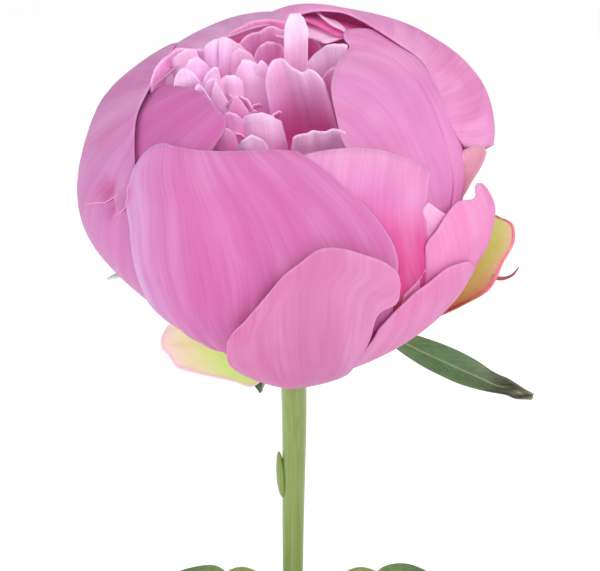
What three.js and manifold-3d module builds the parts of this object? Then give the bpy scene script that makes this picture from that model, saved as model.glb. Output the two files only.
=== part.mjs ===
// A cut peony standing in a clear glass bud vase.
// Millimetres, +Z up. The origin is the middle of the vase's foot, on the surface that it
// stands on, and the bloom leans towards -Y, its front. +X is the right side seen from there.

import * as THREE from 'three';
import { mergeVertices } from 'three/addons/utils/BufferGeometryUtils.js';
import Module from 'manifold-3d';

const wasm = await Module();
wasm.setup();

// Driving dimensions

const SEAT_GAP = 0.3;

const VASE_HEIGHT = 150;
const FOOT_RADIUS = 29;
const FOOT_EDGE = 2;
const BELLY_RADIUS = 36;
const BELLY_HEIGHT = 40;
const NECK_RADIUS = 10.5;
const NECK_LOW = 118;
const NECK_HIGH = 136;
const LIP_RADIUS = 14.5;
const GLASS_WALL = 2.5;
const GLASS_FLOOR = 8;
const WATER_LEVEL = 88;
const WATER_GAP = 0.4;
const VASE_SIDES = 32;

const BLOOM_CENTRE = new THREE.Vector3(-1.6, -20, 276);
const BLOOM_RADIUS = 50;
const BLOOM_HALF_HEIGHT = 39.6;
const BLOOM_LEAN = 23;
const BLOOM_SIDE_LEAN = -2;
const PETAL_THICKNESS = 0.7;
const LEAF_THICKNESS = 0.7;
const CALYX_TOP = -38.9;
const CALYX_BOTTOM = -42.1;
const CALYX_RADIUS = 7.5;
const CALYX_SIDES = 20;

const STEM_FOOT_RADIUS = 2.7;
const STEM_TOP_RADIUS = 3.4;
const STEM_SLANT_DROP = 0.2;
const RECEPTACLE_RADIUS = 6.2;
const RECEPTACLE_LENGTH = 14;
const STEM_SIDES = 14;
const STEM_STEPS = 36;

const WRAPPED_STEPS = { columns: 6, rows: 8 };
const STANDING_STEPS = { columns: 4, rows: 4 };
const LEAF_STEPS = { columns: 4, rows: 10 };

// Shared helpers

const radians = THREE.MathUtils.degToRad;
const clamp = THREE.MathUtils.clamp;
const mix = THREE.MathUtils.lerp;
const vector = (point) => new THREE.Vector3(...point);
const arched = (from, over, to) => new THREE.QuadraticBezierCurve3(vector(from), vector(over), vector(to));

function smooth(t) {
  const x = clamp(t, 0, 1);
  return x * x * (3 - 2 * x);
}

// The value at t, from 0 to 1, of a list of evenly spaced values
function along(values, t) {
  const place = clamp(t, 0, 1) * (values.length - 1);
  const low = Math.min(Math.floor(place), values.length - 2);
  return mix(values[low], values[low + 1], place - low);
}

function geometryOf(points, triangles) {
  const places = points.flatMap((point) => point.toArray());
  const geometry = new THREE.BufferGeometry();
  geometry.setAttribute('position', new THREE.Float32BufferAttribute(places, 3));
  geometry.setIndex(triangles.flat());
  geometry.computeVertexNormals();
  return geometry;
}

// A closed thin sheet around a grid of points, grid[row][column], its two faces cut alike
function sheet(grid, thickness) {
  const rows = grid.length;
  const columns = grid[0].length;
  const at = (row, column) => grid[clamp(row, 0, rows - 1)][clamp(column, 0, columns - 1)];
  const index = (row, column) => row * columns + column;
  const shift = rows * columns;
  const front = [];
  const back = [];
  const triangles = [];
  for (let row = 0; row < rows; row += 1) {
    for (let column = 0; column < columns; column += 1) {
      const sideways = at(row, column + 1).clone().sub(at(row, column - 1));
      const upwards = at(row + 1, column).clone().sub(at(row - 1, column));
      const normal = sideways.cross(upwards).normalize();
      front.push(at(row, column).clone().addScaledVector(normal, thickness / 2));
      back.push(at(row, column).clone().addScaledVector(normal, -thickness / 2));
    }
  }
  for (let row = 0; row < rows - 1; row += 1) {
    for (let column = 0; column < columns - 1; column += 1) {
      const [a, b] = [index(row, column), index(row, column + 1)];
      const [c, d] = [index(row + 1, column + 1), index(row + 1, column)];
      triangles.push([a, b, c], [a, c, d]);
      triangles.push([a + shift, c + shift, b + shift], [a + shift, d + shift, c + shift]);
    }
  }
  const across = Array.from({ length: columns - 1 }, (_, column) => column);
  const upward = Array.from({ length: rows - 1 }, (_, row) => row);
  const border = [
    ...across.map((column) => index(0, column)),
    ...upward.map((row) => index(row, columns - 1)),
    ...across.map((column) => index(rows - 1, columns - 1 - column)),
    ...upward.map((row) => index(rows - 1 - row, 0)),
  ];
  border.forEach((a, i) => {
    const b = border[(i + 1) % border.length];
    triangles.push([a, b + shift, b], [a, a + shift, b + shift]);
  });
  return geometryOf([...front, ...back], triangles);
}

// A closed round tube along a curve, with its radius given at each place from 0 to 1
function tube(curve, radiusAt, sides, steps) {
  const points = [];
  const triangles = [];
  for (let step = 0; step <= steps; step += 1) {
    const t = step / steps;
    const tangent = curve.getTangentAt(t);
    const across = new THREE.Vector3(0, 1, 0).cross(tangent).normalize();
    const other = tangent.clone().cross(across);
    for (let side = 0; side < sides; side += 1) {
      const angle = (side / sides) * 2 * Math.PI;
      const point = curve.getPointAt(t);
      point.addScaledVector(across, Math.cos(angle) * radiusAt(t));
      point.addScaledVector(other, Math.sin(angle) * radiusAt(t));
      points.push(point);
    }
  }
  const bottom = points.push(curve.getPointAt(0)) - 1;
  const top = points.push(curve.getPointAt(1)) - 1;
  for (let side = 0; side < sides; side += 1) {
    const next = (side + 1) % sides;
    for (let step = 0; step < steps; step += 1) {
      const [a, b] = [step * sides + side, step * sides + next];
      triangles.push([a, b, b + sides], [a, b + sides, a + sides]);
    }
    triangles.push([bottom, next, side], [top, steps * sides + side, steps * sides + next]);
  }
  return geometryOf(points, triangles);
}

// A solid of revolution about +Z from [radius, height] pairs that start and end on the axis
function turned(profile, sides) {
  const outline = profile.map(([radius, height]) => new THREE.Vector2(radius, height));
  return new THREE.LatheGeometry(outline, sides).rotateX(Math.PI / 2);
}

function solidOf(geometry) {
  const bare = geometry.clone();
  bare.deleteAttribute('normal');
  bare.deleteAttribute('uv');
  const merged = mergeVertices(bare, 1e-4);
  const vertProperties = new Float32Array(merged.getAttribute('position').array);
  const corners = Array.from(merged.getIndex().array);
  const kept = [];
  for (let i = 0; i < corners.length; i += 3) {
    const [a, b, c] = corners.slice(i, i + 3);
    if (a !== b && b !== c && c !== a) {
      kept.push(a, b, c);
    }
  }
  return new wasm.Manifold(new wasm.Mesh({ numProp: 3, vertProperties, triVerts: new Uint32Array(kept) }));
}

function geometryFrom(solid) {
  const mesh = solid.getMesh();
  const geometry = new THREE.BufferGeometry();
  geometry.setAttribute('position', new THREE.BufferAttribute(new Float32Array(mesh.vertProperties), 3));
  geometry.setIndex(new THREE.BufferAttribute(new Uint32Array(mesh.triVerts), 1));
  geometry.computeVertexNormals();
  return geometry;
}

// Joins closed geometries. Hollows sealed in by the joining are filled and loose scraps dropped.
function joined(geometries) {
  const whole = geometries.map(solidOf).reduce((sum, solid) => sum.add(solid));
  const bodies = whole.decompose().sort((a, b) => b.volume() - a.volume());
  return geometryFrom(bodies[0]);
}

function piece(name, geometry, colour, roughness) {
  const material = new THREE.MeshStandardMaterial({ color: colour, roughness, metalness: 0 });
  const mesh = new THREE.Mesh(geometry, material);
  mesh.name = name;
  return mesh;
}

// The stem's course: its foot on the vase's floor, its side against the back of the neck, and
// nodding to the front at the top, where it meets the calyx square to the bloom's axis

const bloomTurn = new THREE.Euler(radians(BLOOM_LEAN), radians(BLOOM_SIDE_LEAN), 0, 'YXZ');
const bloomAxis = new THREE.Vector3(0, 0, 1).applyEuler(bloomTurn);
const stemTop = BLOOM_CENTRE.clone().addScaledVector(bloomAxis, CALYX_BOTTOM - SEAT_GAP);
const stemFoot = new THREE.Vector3(-1, -5.5, GLASS_FLOOR + SEAT_GAP + STEM_SLANT_DROP);

const stemCourse = new THREE.CatmullRomCurve3([
  stemFoot,
  new THREE.Vector3(-0.4, -0.4, (GLASS_FLOOR + NECK_HIGH) / 2),
  new THREE.Vector3(0, 4.6, NECK_HIGH + 2),
  new THREE.Vector3(0.2, 6, VASE_HEIGHT + 25),
  new THREE.Vector3(0.5, 5.6, VASE_HEIGHT + 55),
  stemTop.clone().addScaledVector(bloomAxis, -RECEPTACLE_LENGTH),
  stemTop.clone().addScaledVector(bloomAxis, -RECEPTACLE_LENGTH / 3),
  stemTop,
], false, 'centripetal');

// How far along the stem, from 0 to 1, it passes a height
function stemShare(height) {
  let low = 0;
  let high = 1;
  for (let i = 0; i < 20; i += 1) {
    const middle = (low + high) / 2;
    if (stemCourse.getPointAt(middle).z < height) {
      low = middle;
    } else {
      high = middle;
    }
  }
  return low;
}

function stemRadius(t) {
  const below = (1 - t) * stemCourse.getLength();
  const shaft = mix(STEM_FOOT_RADIUS, STEM_TOP_RADIUS, smooth((t - 0.6) / 0.4));
  return shaft + (RECEPTACLE_RADIUS - STEM_TOP_RADIUS) * (1 - smooth(below / RECEPTACLE_LENGTH));
}

// A small scale leaf pressed to the stem's left side
const SCALE = { width: 3, depth: 4, length: 13.6, lean: -5, place: [-3, 5.6, 189] };

function stemGeometry() {
  const shaft = tube(stemCourse, stemRadius, STEM_SIDES, STEM_STEPS);
  const scale = new THREE.SphereGeometry(1, 8, 8).rotateX(Math.PI / 2);
  scale.scale(SCALE.width / 2, SCALE.depth / 2, SCALE.length / 2);
  scale.rotateY(radians(SCALE.lean)).translate(...SCALE.place);
  return joined([shaft, scale]);
}

// The vase, of clear glass, and its water

// The wall from the foot up to the neck, as [radius, height] pairs
function wallPoints(footRadius, start, wall) {
  const points = [
    [footRadius, start],
    [BELLY_RADIUS - wall, BELLY_HEIGHT],
    [(BELLY_RADIUS + NECK_RADIUS) / 2 - wall, (BELLY_HEIGHT + NECK_LOW) / 2],
    [NECK_RADIUS - wall, NECK_LOW],
    [NECK_RADIUS - wall, NECK_HIGH],
  ];
  const curve = new THREE.SplineCurve(points.map(([radius, height]) => new THREE.Vector2(radius, height)));
  return curve.getPoints(13).map((point) => point.toArray());
}

const floorRadius = FOOT_RADIUS - 3 * GLASS_WALL;
const outerWall = wallPoints(FOOT_RADIUS, FOOT_EDGE, 0);
const innerWall = wallPoints(FOOT_RADIUS - 2 * GLASS_WALL, GLASS_FLOOR + GLASS_WALL, GLASS_WALL);

function vaseGeometry() {
  const rim = [
    [LIP_RADIUS - 1, VASE_HEIGHT - 3],
    [LIP_RADIUS, VASE_HEIGHT - 1],
    [LIP_RADIUS - GLASS_WALL / 2, VASE_HEIGHT],
    [LIP_RADIUS - GLASS_WALL, VASE_HEIGHT - 1],
  ];
  const outside = [[0, 0], [FOOT_RADIUS - FOOT_EDGE, 0], ...outerWall];
  const inside = [...innerWall.toReversed(), [floorRadius, GLASS_FLOOR], [0, GLASS_FLOOR]];
  return turned([...outside, ...rim, ...inside], VASE_SIDES);
}

// The water fills the vase up to its level, with a plain hole where the stem stands
function waterGeometry() {
  const bottom = GLASS_FLOOR + SEAT_GAP;
  const wet = innerWall.filter(([, height]) => height < WATER_LEVEL);
  const side = wet.map(([radius, height]) => [radius - WATER_GAP, height]);
  const surface = side.at(-1)[1];
  const body = turned([[0, bottom], [floorRadius - WATER_GAP, bottom], ...side, [0, surface]], VASE_SIDES);
  const holeRadius = STEM_FOOT_RADIUS + WATER_GAP;
  const hole = tube(stemCourse, () => holeRadius, STEM_SIDES, STEM_STEPS);
  const mouth = new THREE.CylinderGeometry(holeRadius, holeRadius, 4, STEM_SIDES).rotateX(Math.PI / 2);
  mouth.translate(...stemFoot.toArray());
  return geometryFrom(solidOf(body).subtract(solidOf(hole)).subtract(solidOf(mouth)));
}

// Petals that close round the bloom. Their edges are given as [azimuth, polar] pairs in degrees on
// the bloom's egg: azimuth from the front towards the right, polar from the stem up to the top.

const EGG_SIZE = new THREE.Vector3(BLOOM_RADIUS, BLOOM_RADIUS, BLOOM_HALF_HEIGHT);

// The egg narrows to the stem, most on its left side, where the narrowing starts above the middle
const TAPER_ALL = 0.1;
const TAPER_LEFT = 0.3;
const TAPER_RIGHT = 0.13;
const TAPER_LEFT_START = 0.4;

function eggDirection([azimuth, polar]) {
  const [a, p] = [radians(azimuth), radians(polar)];
  return new THREE.Vector3(Math.sin(p) * Math.sin(a), -Math.sin(p) * Math.cos(a), -Math.cos(p));
}

// A line over the egg through [azimuth, polar] points. Each has a lift of its own as a third value
// or else the petal's. The lift is the fourth value of the points that it returns.
function eggEdge(points, steps, level) {
  const curve = new THREE.CatmullRomCurve3(points.map(eggDirection), false, 'centripetal');
  const lifts = points.map((point) => point[2] ?? level);
  return Array.from({ length: steps + 1 }, (_, step) => {
    const t = curve.getUtoTmapping(step / steps);
    const { x, y, z } = curve.getPoint(t).normalize();
    return new THREE.Vector4(x, y, z, along(lifts, t));
  });
}

function eggWidth(direction) {
  const low = Math.max(-direction.z, 0);
  const left = Math.max(-direction.x, 0);
  const right = Math.max(direction.x, 0);
  const leftShare = clamp((TAPER_LEFT_START - direction.z) / (1 + TAPER_LEFT_START), 0, 1);
  return 1 - TAPER_ALL * low ** 1.2 - TAPER_LEFT * left * leftShare - TAPER_RIGHT * right * low;
}

// A patch between four edges: left, right and top as drawn, the base straight across the roots.
// It stands off the egg by its lift, fuller at the middle by its belly, at the top by its rim and
// round the [azimuth, polar, reach, height] of its bulges.
function wrappedGrid(petal, { columns, rows }) {
  const left = eggEdge(petal.left, rows, petal.lift);
  const right = eggEdge(petal.right, rows, petal.lift);
  const top = eggEdge(petal.top, columns, petal.lift);
  const base = eggEdge([petal.left[0], petal.right[0]], columns, petal.lift);
  const grid = [];
  for (let row = 0; row <= rows; row += 1) {
    const v = row / rows;
    const line = [];
    for (let column = 0; column <= columns; column += 1) {
      const u = column / columns;
      const patch = new THREE.Vector4(0, 0, 0, 0);
      patch.addScaledVector(left[row], 1 - u).addScaledVector(right[row], u);
      patch.addScaledVector(base[column], 1 - v).addScaledVector(top[column], v);
      patch.addScaledVector(left[0], -(1 - u) * (1 - v)).addScaledVector(right[0], -u * (1 - v));
      patch.addScaledVector(left[rows], -(1 - u) * v).addScaledVector(right[rows], -u * v);
      const direction = new THREE.Vector3(patch.x, patch.y, patch.z).normalize();
      const outward = direction.clone().divide(EGG_SIZE).normalize();
      const belly = (petal.belly ?? 0) * (1 - (2 * u - 1) ** 2) * Math.sin(Math.PI * v);
      const rim = (petal.rim ?? 0) * v ** (petal.rimPower ?? 2);
      const inside = (1 - v ** 8) * (1 - (1 - u) ** 8);
      const bulge = (petal.bulges ?? []).reduce((sum, [azimuth, polar, reach, height]) => {
        const angle = direction.angleTo(eggDirection([azimuth, polar])) / radians(reach);
        return sum + inside * height * Math.exp(-(angle ** 2));
      }, 0);
      const point = direction.clone().multiply(EGG_SIZE).multiplyScalar(eggWidth(direction));
      line.push(point.addScaledVector(outward, patch.w + belly + rim + bulge));
    }
    grid.push(line);
  }
  return grid;
}

const WRAPPED_PETALS = {
  frontLow: {
    left: [[0, 12], [-6, 40], [-12, 62], [-16, 78], [-15, 93]],
    top: [
      [-15, 93], [-13, 98], [-11, 101], [-8, 106], [-4, 112], [0, 117], [5, 120.5], [11, 123.5],
      [17, 122.5], [23, 119], [28, 115], [31, 110], [31, 106],
    ],
    right: [[14, 12], [16, 45], [18, 79], [21, 91], [24, 99.5], [29, 100.5], [31, 106]],
    lift: 2.4, belly: 0.6, steps: { columns: 8, rows: 6 },
  },
  frontBroad: {
    left: [[-30, 12], [-36, 50], [-42, 85], [-47, 105], [-51, 115], [-58, 122], [-64, 130]],
    top: [
      [-64, 130], [-66, 136], [-65, 140], [-62, 142.5], [-57, 144], [-44, 147.5], [-24, 151.5],
      [-2, 153.5], [10, 152.5],
    ],
    right: [
      [18, 12], [26, 55], [29, 90], [30, 103], [33.5, 111], [34, 118], [31.5, 129], [26.5, 138],
      [20, 146], [10, 152.5],
    ],
    lift: -0.8, steps: { columns: 6, rows: 7 },
  },
  frontInner: {
    left: [[5, 12], [0, 60], [-5, 100], [-5, 130], [0, 149]],
    top: [
      [0, 149], [15, 151.5], [30, 150.5], [44, 146.5], [50, 143], [56, 137], [60, 133],
      [61.5, 128],
    ],
    right: [[35, 12], [45, 60], [46, 90], [45, 105], [47, 115], [54, 124], [61.5, 128]],
    lift: -1.4, steps: { columns: 6, rows: 6 },
  },
  slip: {
    left: [[34, 12], [36, 60], [38, 90], [41, 108], [47.5, 119]],
    top: [[47.5, 119], [49.5, 121.5], [52, 122]],
    right: [[58, 12], [60, 60], [60, 95], [57, 112], [54, 117.5], [52, 122]],
    lift: -0.5, steps: { columns: 4, rows: 6 },
  },
  rightFold: {
    left: [[35, 12], [35, 60], [35, 100], [36, 130], [38, 149]],
    top: [
      [38, 149], [40.5, 153.5], [46, 157.3], [54, 160.8], [67, 164], [85, 165.5, -3.2],
      [101, 164.6, -3], [113, 162.6, -2.6], [121.5, 159.5, -2.2], [125, 157, -1.8],
      [129.5, 154.3, -1], [134, 154.5, -0.2], [138.6, 152.7, 0.6], [138.3, 150.2, 0.9],
      [137.4, 147.2, 1], [136.2, 143.5, 1],
    ],
    right: [
      [90, 12], [96, 50], [92, 90], [84, 108], [84, 118], [92, 124, -2.8], [104, 127, -1.9],
      [116, 129, -1], [126, 133, 0], [132, 138, 0.7], [136.2, 143.5, 1],
    ],
    lift: -3.5, belly: 0.6, bulges: [[104, 142, 24, 2.2]], steps: { columns: 8, rows: 7 },
  },
  rightLow: {
    left: [[15, 12], [22, 50], [27, 80], [33.6, 98.6]],
    top: [
      [33.6, 98.6], [37.1, 100.2], [40.2, 102], [42.6, 104.4], [43.4, 107.5], [43.6, 110],
      [45, 112], [48.5, 113.4], [52.6, 114.7], [57.5, 115.4], [61, 115], [64.3, 113],
      [67, 110.6], [68.6, 109.8, 0.8], [69.2, 111.2, 1.1], [70.3, 112.6, 1.2],
      [72.2, 112.2, 1.2], [73.9, 110.4, 1.1], [75.4, 107, 1], [76.6, 103, 0.9], [78, 98, 0.8],
    ],
    right: [[60, 12], [72, 45], [80, 75], [80, 88], [78, 98, 0.8]],
    lift: 0.4, steps: { columns: 8, rows: 6 },
  },
  rightBase: {
    left: [[8, 12], [12, 45], [16, 70], [24, 92]],
    top: [
      [24, 92], [29, 96.5], [33.5, 99], [36, 100], [39.5, 100.3], [43.6, 100.8], [47, 100.8],
      [51.5, 98.8], [55.3, 96.2], [58, 92, 1], [61, 87, 0.9], [66, 80, 0.9],
    ],
    right: [[60, 12], [70, 35], [72, 58, 1.1], [66, 80, 0.9]],
    lift: 1.3, steps: { columns: 6, rows: 5 },
  },
  backRight: {
    left: [
      [135, 12], [126, 50], [113, 80, 0.5], [101, 98, 1.5], [93, 107, -0.5], [88, 114, -1.8],
      [86, 117, -2.2],
    ],
    top: [
      [85.5, 117, -2], [85.5, 123, -1.4], [91, 129, -0.8], [102.5, 132, -0.4],
      [115.5, 133.5, 0.6], [121.5, 139.5, 1.4], [127.5, 142, 1.8], [134.5, 143, 2],
      [142.5, 143, 2.2], [149.5, 143.3, 2.4], [155, 145.5, 2.3], [160.5, 146.6, 1.9],
      [165, 146.4, 1.2], [171, 146, 0], [178, 146, -1.6], [184, 148, -2.8],
    ],
    right: [[195, 12], [200, 50], [202, 90, -1.5], [196, 125, -2.8], [184, 148, -2.8]],
    lift: 0, bulges: [[118, 108, 22, 5.4], [138, 117, 15, 1.4]], steps: { columns: 9, rows: 8 },
  },
  rightSide: {
    left: [[75, 12], [78, 60], [74, 100], [72, 122]],
    top: [[72, 122], [85, 124], [95, 120]],
    right: [[110, 12], [112, 60], [104, 100], [95, 120]],
    lift: -5, belly: 0.4, steps: { columns: 4, rows: 5 },
  },
  leftOuter: {
    left: [[-140, 12], [-148, 50], [-152, 90], [-148, 112, -0.9], [-140, 129, -1.1]],
    top: [
      [-140, 129, -1.1], [-131, 136.5, -0.8], [-121, 140.5, -0.9], [-110, 140.5, -1.4],
      [-101, 138.5], [-90, 136], [-75, 133], [-66, 130], [-61, 126], [-62, 121],
    ],
    right: [[-30, 12], [-36, 50], [-41, 85], [-44, 100], [-48, 110], [-52, 117], [-62, 121]],
    lift: -2.1, bulges: [[-88, 88, 28, 5.6], [-120, 110, 18, 3]], steps: { columns: 7, rows: 7 },
  },
  leftFold: {
    left: [[-100, 12], [-104, 60], [-108, 100], [-112, 125], [-110, 136]],
    top: [
      [-110, 136], [-108, 140], [-105.5, 145], [-102.5, 149.5], [-97, 154], [-87, 158.5],
      [-76, 160], [-64, 160.5], [-52, 160.4], [-45, 157.8], [-42.5, 154], [-45, 150],
    ],
    right: [[-60, 12], [-58, 60], [-50, 100], [-44, 125], [-42, 140], [-45, 150]],
    lift: -3.6, belly: 0.6, steps: { columns: 6, rows: 6 },
  },
  backDeep: {
    left: [[112, 12], [113, 60], [114, 100], [116, 125, -0.6], [119, 137, 0.2]],
    top: [
      [119, 137, 0.2], [126, 141, 0.6], [132, 146, 0.6], [135, 152, 0], [141, 154], [150, 153],
      [160, 150], [170, 146],
    ],
    right: [[175, 12], [175, 60], [174, 100], [172, 130], [170, 146]],
    lift: -0.6, steps: { columns: 4, rows: 5 },
  },
  backInner: {
    left: [[168, 12], [168, 60], [167, 100], [166, 125, -1], [165, 138, 0.6]],
    top: [
      [165, 138, 0.6], [162, 143, 0.8], [157.5, 147.6, 0.7], [148, 151.3, 0.5],
      [141, 151.3, 0.3], [137, 150.8, -0.4], [139, 152.6, -1.1], [140.6, 155.3, -1.6],
      [143, 158.3, -1.8], [151, 157.8, -2], [157.5, 156.9, -2.2], [164.5, 157.3], [173, 158.3],
      [182, 156],
    ],
    right: [[205, 12], [204, 60], [200, 100], [192, 135], [182, 156]],
    lift: -2.6, steps: { columns: 6, rows: 5 },
  },
  backLeft: {
    left: [[-110, 12], [-112, 60], [-112, 100, -2.8], [-108, 125, -2.8], [-106, 136, -2.8]],
    top: [
      [-106, 138, -2.8], [-116, 144, -2.4], [-125, 147, -2], [-133, 148.5, -1.8], [-142, 149.5],
      [-154, 150.5], [-163, 150.5, -1.4], [-175, 150.5, -1], [-187, 147, -0.8],
      [-198, 139, -0.6],
    ],
    right: [[-165, 12], [-182, 60], [-194, 100], [-200, 125, -0.6], [-198, 139, -0.6]],
    lift: -1.7, belly: 1.2, steps: { columns: 7, rows: 6 },
  },
  lowLeft: {
    left: [[-165, 12], [-170, 40], [-166, 62], [-152, 82]],
    top: [[-152, 82], [-138, 90], [-124, 86], [-112, 72]],
    right: [[-120, 12], [-110, 40], [-108, 58], [-112, 72]],
    lift: 2.8, steps: { columns: 5, rows: 5 },
  },
  lowBack: {
    left: [[122, 12], [116, 40], [114, 65], [124, 84]],
    top: [[124, 84], [136, 90], [152, 91], [168, 84]],
    right: [[165, 12], [175, 40], [177, 65], [168, 84]],
    lift: 2.6, rim: 1.9, rimPower: 1, steps: { columns: 5, rows: 5 },
  },
};

// Petals that stand free, from a foot over a bow point to a tip, in millimetres in the bloom's
// own frame: +X right, -Y front, +Z along the bloom's axis, from the bloom's middle. An outline
// says how far up each lengthwise line of the petal goes, from its left edge to its right one.

const ROUND_TIP = [0.72, 0.9, 0.97, 1, 0.97, 0.9, 0.72];
const POINTED_TIP = [0.6, 0.78, 0.92, 1, 0.92, 0.78, 0.6];
const TWO_LOBED_TIP = [0.8, 0.95, 1, 0.98, 0.92, 0.93, 0.96, 0.94, 0.82];
const RISING_TIP = [0.6, 0.74, 0.84, 0.9, 0.95, 1, 0.98];
const WIDTH_UPWARDS = [0.6, 0.92, 1, 0.9];
const TO_FRONT = [0, -1, 0];
const FRONT_AND_UP = [0, -1, 0.6];
const WAVE_COUNT = 1.5;

function standingGrid(petal, { columns, rows }) {
  const spine = arched(petal.foot, petal.bow, petal.tip);
  const facing = vector(petal.faces ?? FRONT_AND_UP).normalize();
  const grid = [];
  for (let row = 0; row <= rows; row += 1) {
    const line = [];
    for (let column = 0; column <= columns; column += 1) {
      const u = (2 * column) / columns - 1;
      const reach = (row / rows) * along(petal.outline ?? ROUND_TIP, column / columns);
      const tangent = spine.getTangent(reach);
      const across = facing.clone().cross(tangent).normalize();
      const towards = tangent.clone().cross(across);
      const width = petal.half * along(WIDTH_UPWARDS, row / rows);
      const wave = (petal.wave ?? 0) * Math.sin(2 * Math.PI * WAVE_COUNT * u) * reach ** 3;
      const point = spine.getPoint(reach).addScaledVector(across, u * width);
      line.push(point.addScaledVector(towards, petal.cup * u * u + wave));
    }
    grid.push(line);
  }
  return grid;
}

const STANDING_PETALS = {
  trough: {
    foot: [8, 1, -2], bow: [6.4, 3, 20], tip: [2.4, 6.8, 38.2],
    half: 7.4, cup: 4.2, outline: TWO_LOBED_TIP, faces: TO_FRONT,
  },
  tongue: { foot: [3, 8, 2], bow: [3, 7, 30], tip: [4, 19, 41], half: 3.2, cup: 0.9 },
  dome: { foot: [-11, 13, 0], bow: [-14, 9.5, 26], tip: [-12.8, 16.6, 36], half: 6, cup: -3.6 },
  tall: { foot: [-1, -2, 0], bow: [-3, 0.5, 24], tip: [-8.8, 8.8, 35], half: 4.6, cup: -2.4 },
  front: { foot: [-2, -6, 0], bow: [-5, -11, 23], tip: [-5.4, -5.4, 31.4], half: 5.8, cup: -3.2 },
  frontPair: {
    foot: [-8, -8, 0], bow: [-10.5, -15, 23], tip: [-11, -11.5, 33],
    half: 5.2, cup: -2.2,
  },
  knob: { foot: [-7, 1, 0], bow: [-9, 0, 26], tip: [-9.5, 3.5, 35], half: 3.4, cup: -1.4 },
  ruffle: {
    foot: [8, -9, 0], bow: [8, -15, 24], tip: [8, -13.4, 34],
    half: 5.8, cup: 0.6, wave: 0.6, outline: RISING_TIP,
  },
  leftBroad: { foot: [-16, 7, 0], bow: [-24.6, 10, 25], tip: [-25.6, 15, 33.4], half: 6.6, cup: -1.6 },
  leftMiddle: {
    foot: [-12, 6, 0], bow: [-16, 6, 26], tip: [-16, 9, 35.5],
    half: 5, cup: 1.2, outline: POINTED_TIP,
  },
  leftSmall: {
    foot: [-10, 1, 0], bow: [-13.5, -1, 26], tip: [-14, 0, 35.5],
    half: 4.2, cup: 1, outline: POINTED_TIP,
  },
  middleSmall: {
    foot: [-6, -4, 0], bow: [-8, -5, 26], tip: [-8.5, -5, 34.5],
    half: 3.6, cup: -1.2, outline: POINTED_TIP,
  },
  backBroad: { foot: [-4, 14, 0], bow: [-5.5, 20, 25], tip: [-5.6, 21, 35.4], half: 8, cup: 1.4 },
  backNarrow: { foot: [1, 12, 0], bow: [0.5, 17, 26], tip: [0.5, 17, 35], half: 5.5, cup: 1.6 },
  rightEdge: {
    foot: [9, 7, 0], bow: [10, 13, 25], tip: [10.2, 14.6, 35.2],
    half: 6.4, cup: 1.4, outline: RISING_TIP,
  },
  sharp: {
    foot: [-2, 6, 0], bow: [-3, 7.5, 27], tip: [-4, 7.5, 35.5],
    half: 2.8, cup: 0.5, outline: POINTED_TIP,
  },
};

// Shorter petals in an arc on the right, between the standing ones and those that close round
const ARC = { count: 5, start: 5, step: 33, radius: 24, height: 27, sway: 1.5, half: 7.6, cup: 1.8 };

function arcPetal(index) {
  const angle = radians(ARC.start + ARC.step * index);
  const height = ARC.height + ARC.sway * Math.sin(5 * index);
  const [x, y] = [Math.sin(angle), -Math.cos(angle)];
  const place = (share, z) => [ARC.radius * share * x, ARC.radius * share * y, z];
  return {
    foot: place(0.5, -6), bow: place(1.15, height / 2), tip: place(0.8, height),
    half: ARC.half, cup: ARC.cup, faces: [-x, -y, 0.25],
  };
}

// The closed heart that every petal grows out of, as [radius, height] pairs
const CORE_PROFILE = [
  [0, -38.6], [9.5, -38.6], [11.5, -36.6], [12, -32], [14, -25], [19.5, -16],
  [20.5, -6], [19, 2], [15, 8], [8, 11.5], [0, 12.5],
];
const CORE_SIDES = 24;

function bloomGeometry() {
  const arcPetals = Array.from({ length: ARC.count }, (_, index) => arcPetal(index));
  const standingPetals = [...Object.values(STANDING_PETALS), ...arcPetals];
  const wrapped = Object.values(WRAPPED_PETALS).map(
    (petal) => wrappedGrid(petal, petal.steps ?? WRAPPED_STEPS),
  );
  const standing = standingPetals.map((petal) => standingGrid(petal, STANDING_STEPS));
  const sheets = [...wrapped, ...standing].map((grid) => sheet(grid, PETAL_THICKNESS));
  return joined([turned(CORE_PROFILE, CORE_SIDES), ...sheets]);
}

// The calyx: a disc under the petals with three sepals, a bract and the awn of the right sepal

const SEPALS = {
  left: {
    left: [[-110, 7], [-108, 20], [-100, 35]],
    top: [[-100, 35], [-86, 43], [-66, 44], [-44, 38], [-24, 32]],
    right: [[-10, 7], [-16, 20], [-24, 32]],
    lift: 6.2, rim: 6, rimPower: 1.3,
  },
  right: {
    left: [[35, 7], [44, 35], [54, 57], [60, 72]],
    top: [[60, 72], [67, 83], [76, 88], [88, 82]],
    right: [[125, 7], [120, 35], [112, 55], [102, 70], [88, 82]],
    lift: 5.4, belly: 4.6, rim: -0.4,
  },
  back: {
    left: [[150, 7], [152, 30], [158, 50]],
    top: [[158, 50], [170, 62], [185, 62]],
    right: [[200, 7], [198, 30], [185, 62]],
    lift: 5.2, rim: 3,
  },
};
const BRACT = {
  foot: [-3.4, -4.6, -40.2], bow: [-9.5, -13, -42], tip: [-8.5, -9.5, -59],
  half: 2.6, cup: 0.6, faces: [-0.5, -0.7, 0.6], outline: POINTED_TIP,
};
const AWN = {
  foot: [48.6, -18.8, -10.2], bow: [51.4, -19, -11.8], tip: [53.6, -18.2, -6.8],
  radius: 0.8, tipRadius: 0.3,
};

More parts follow.
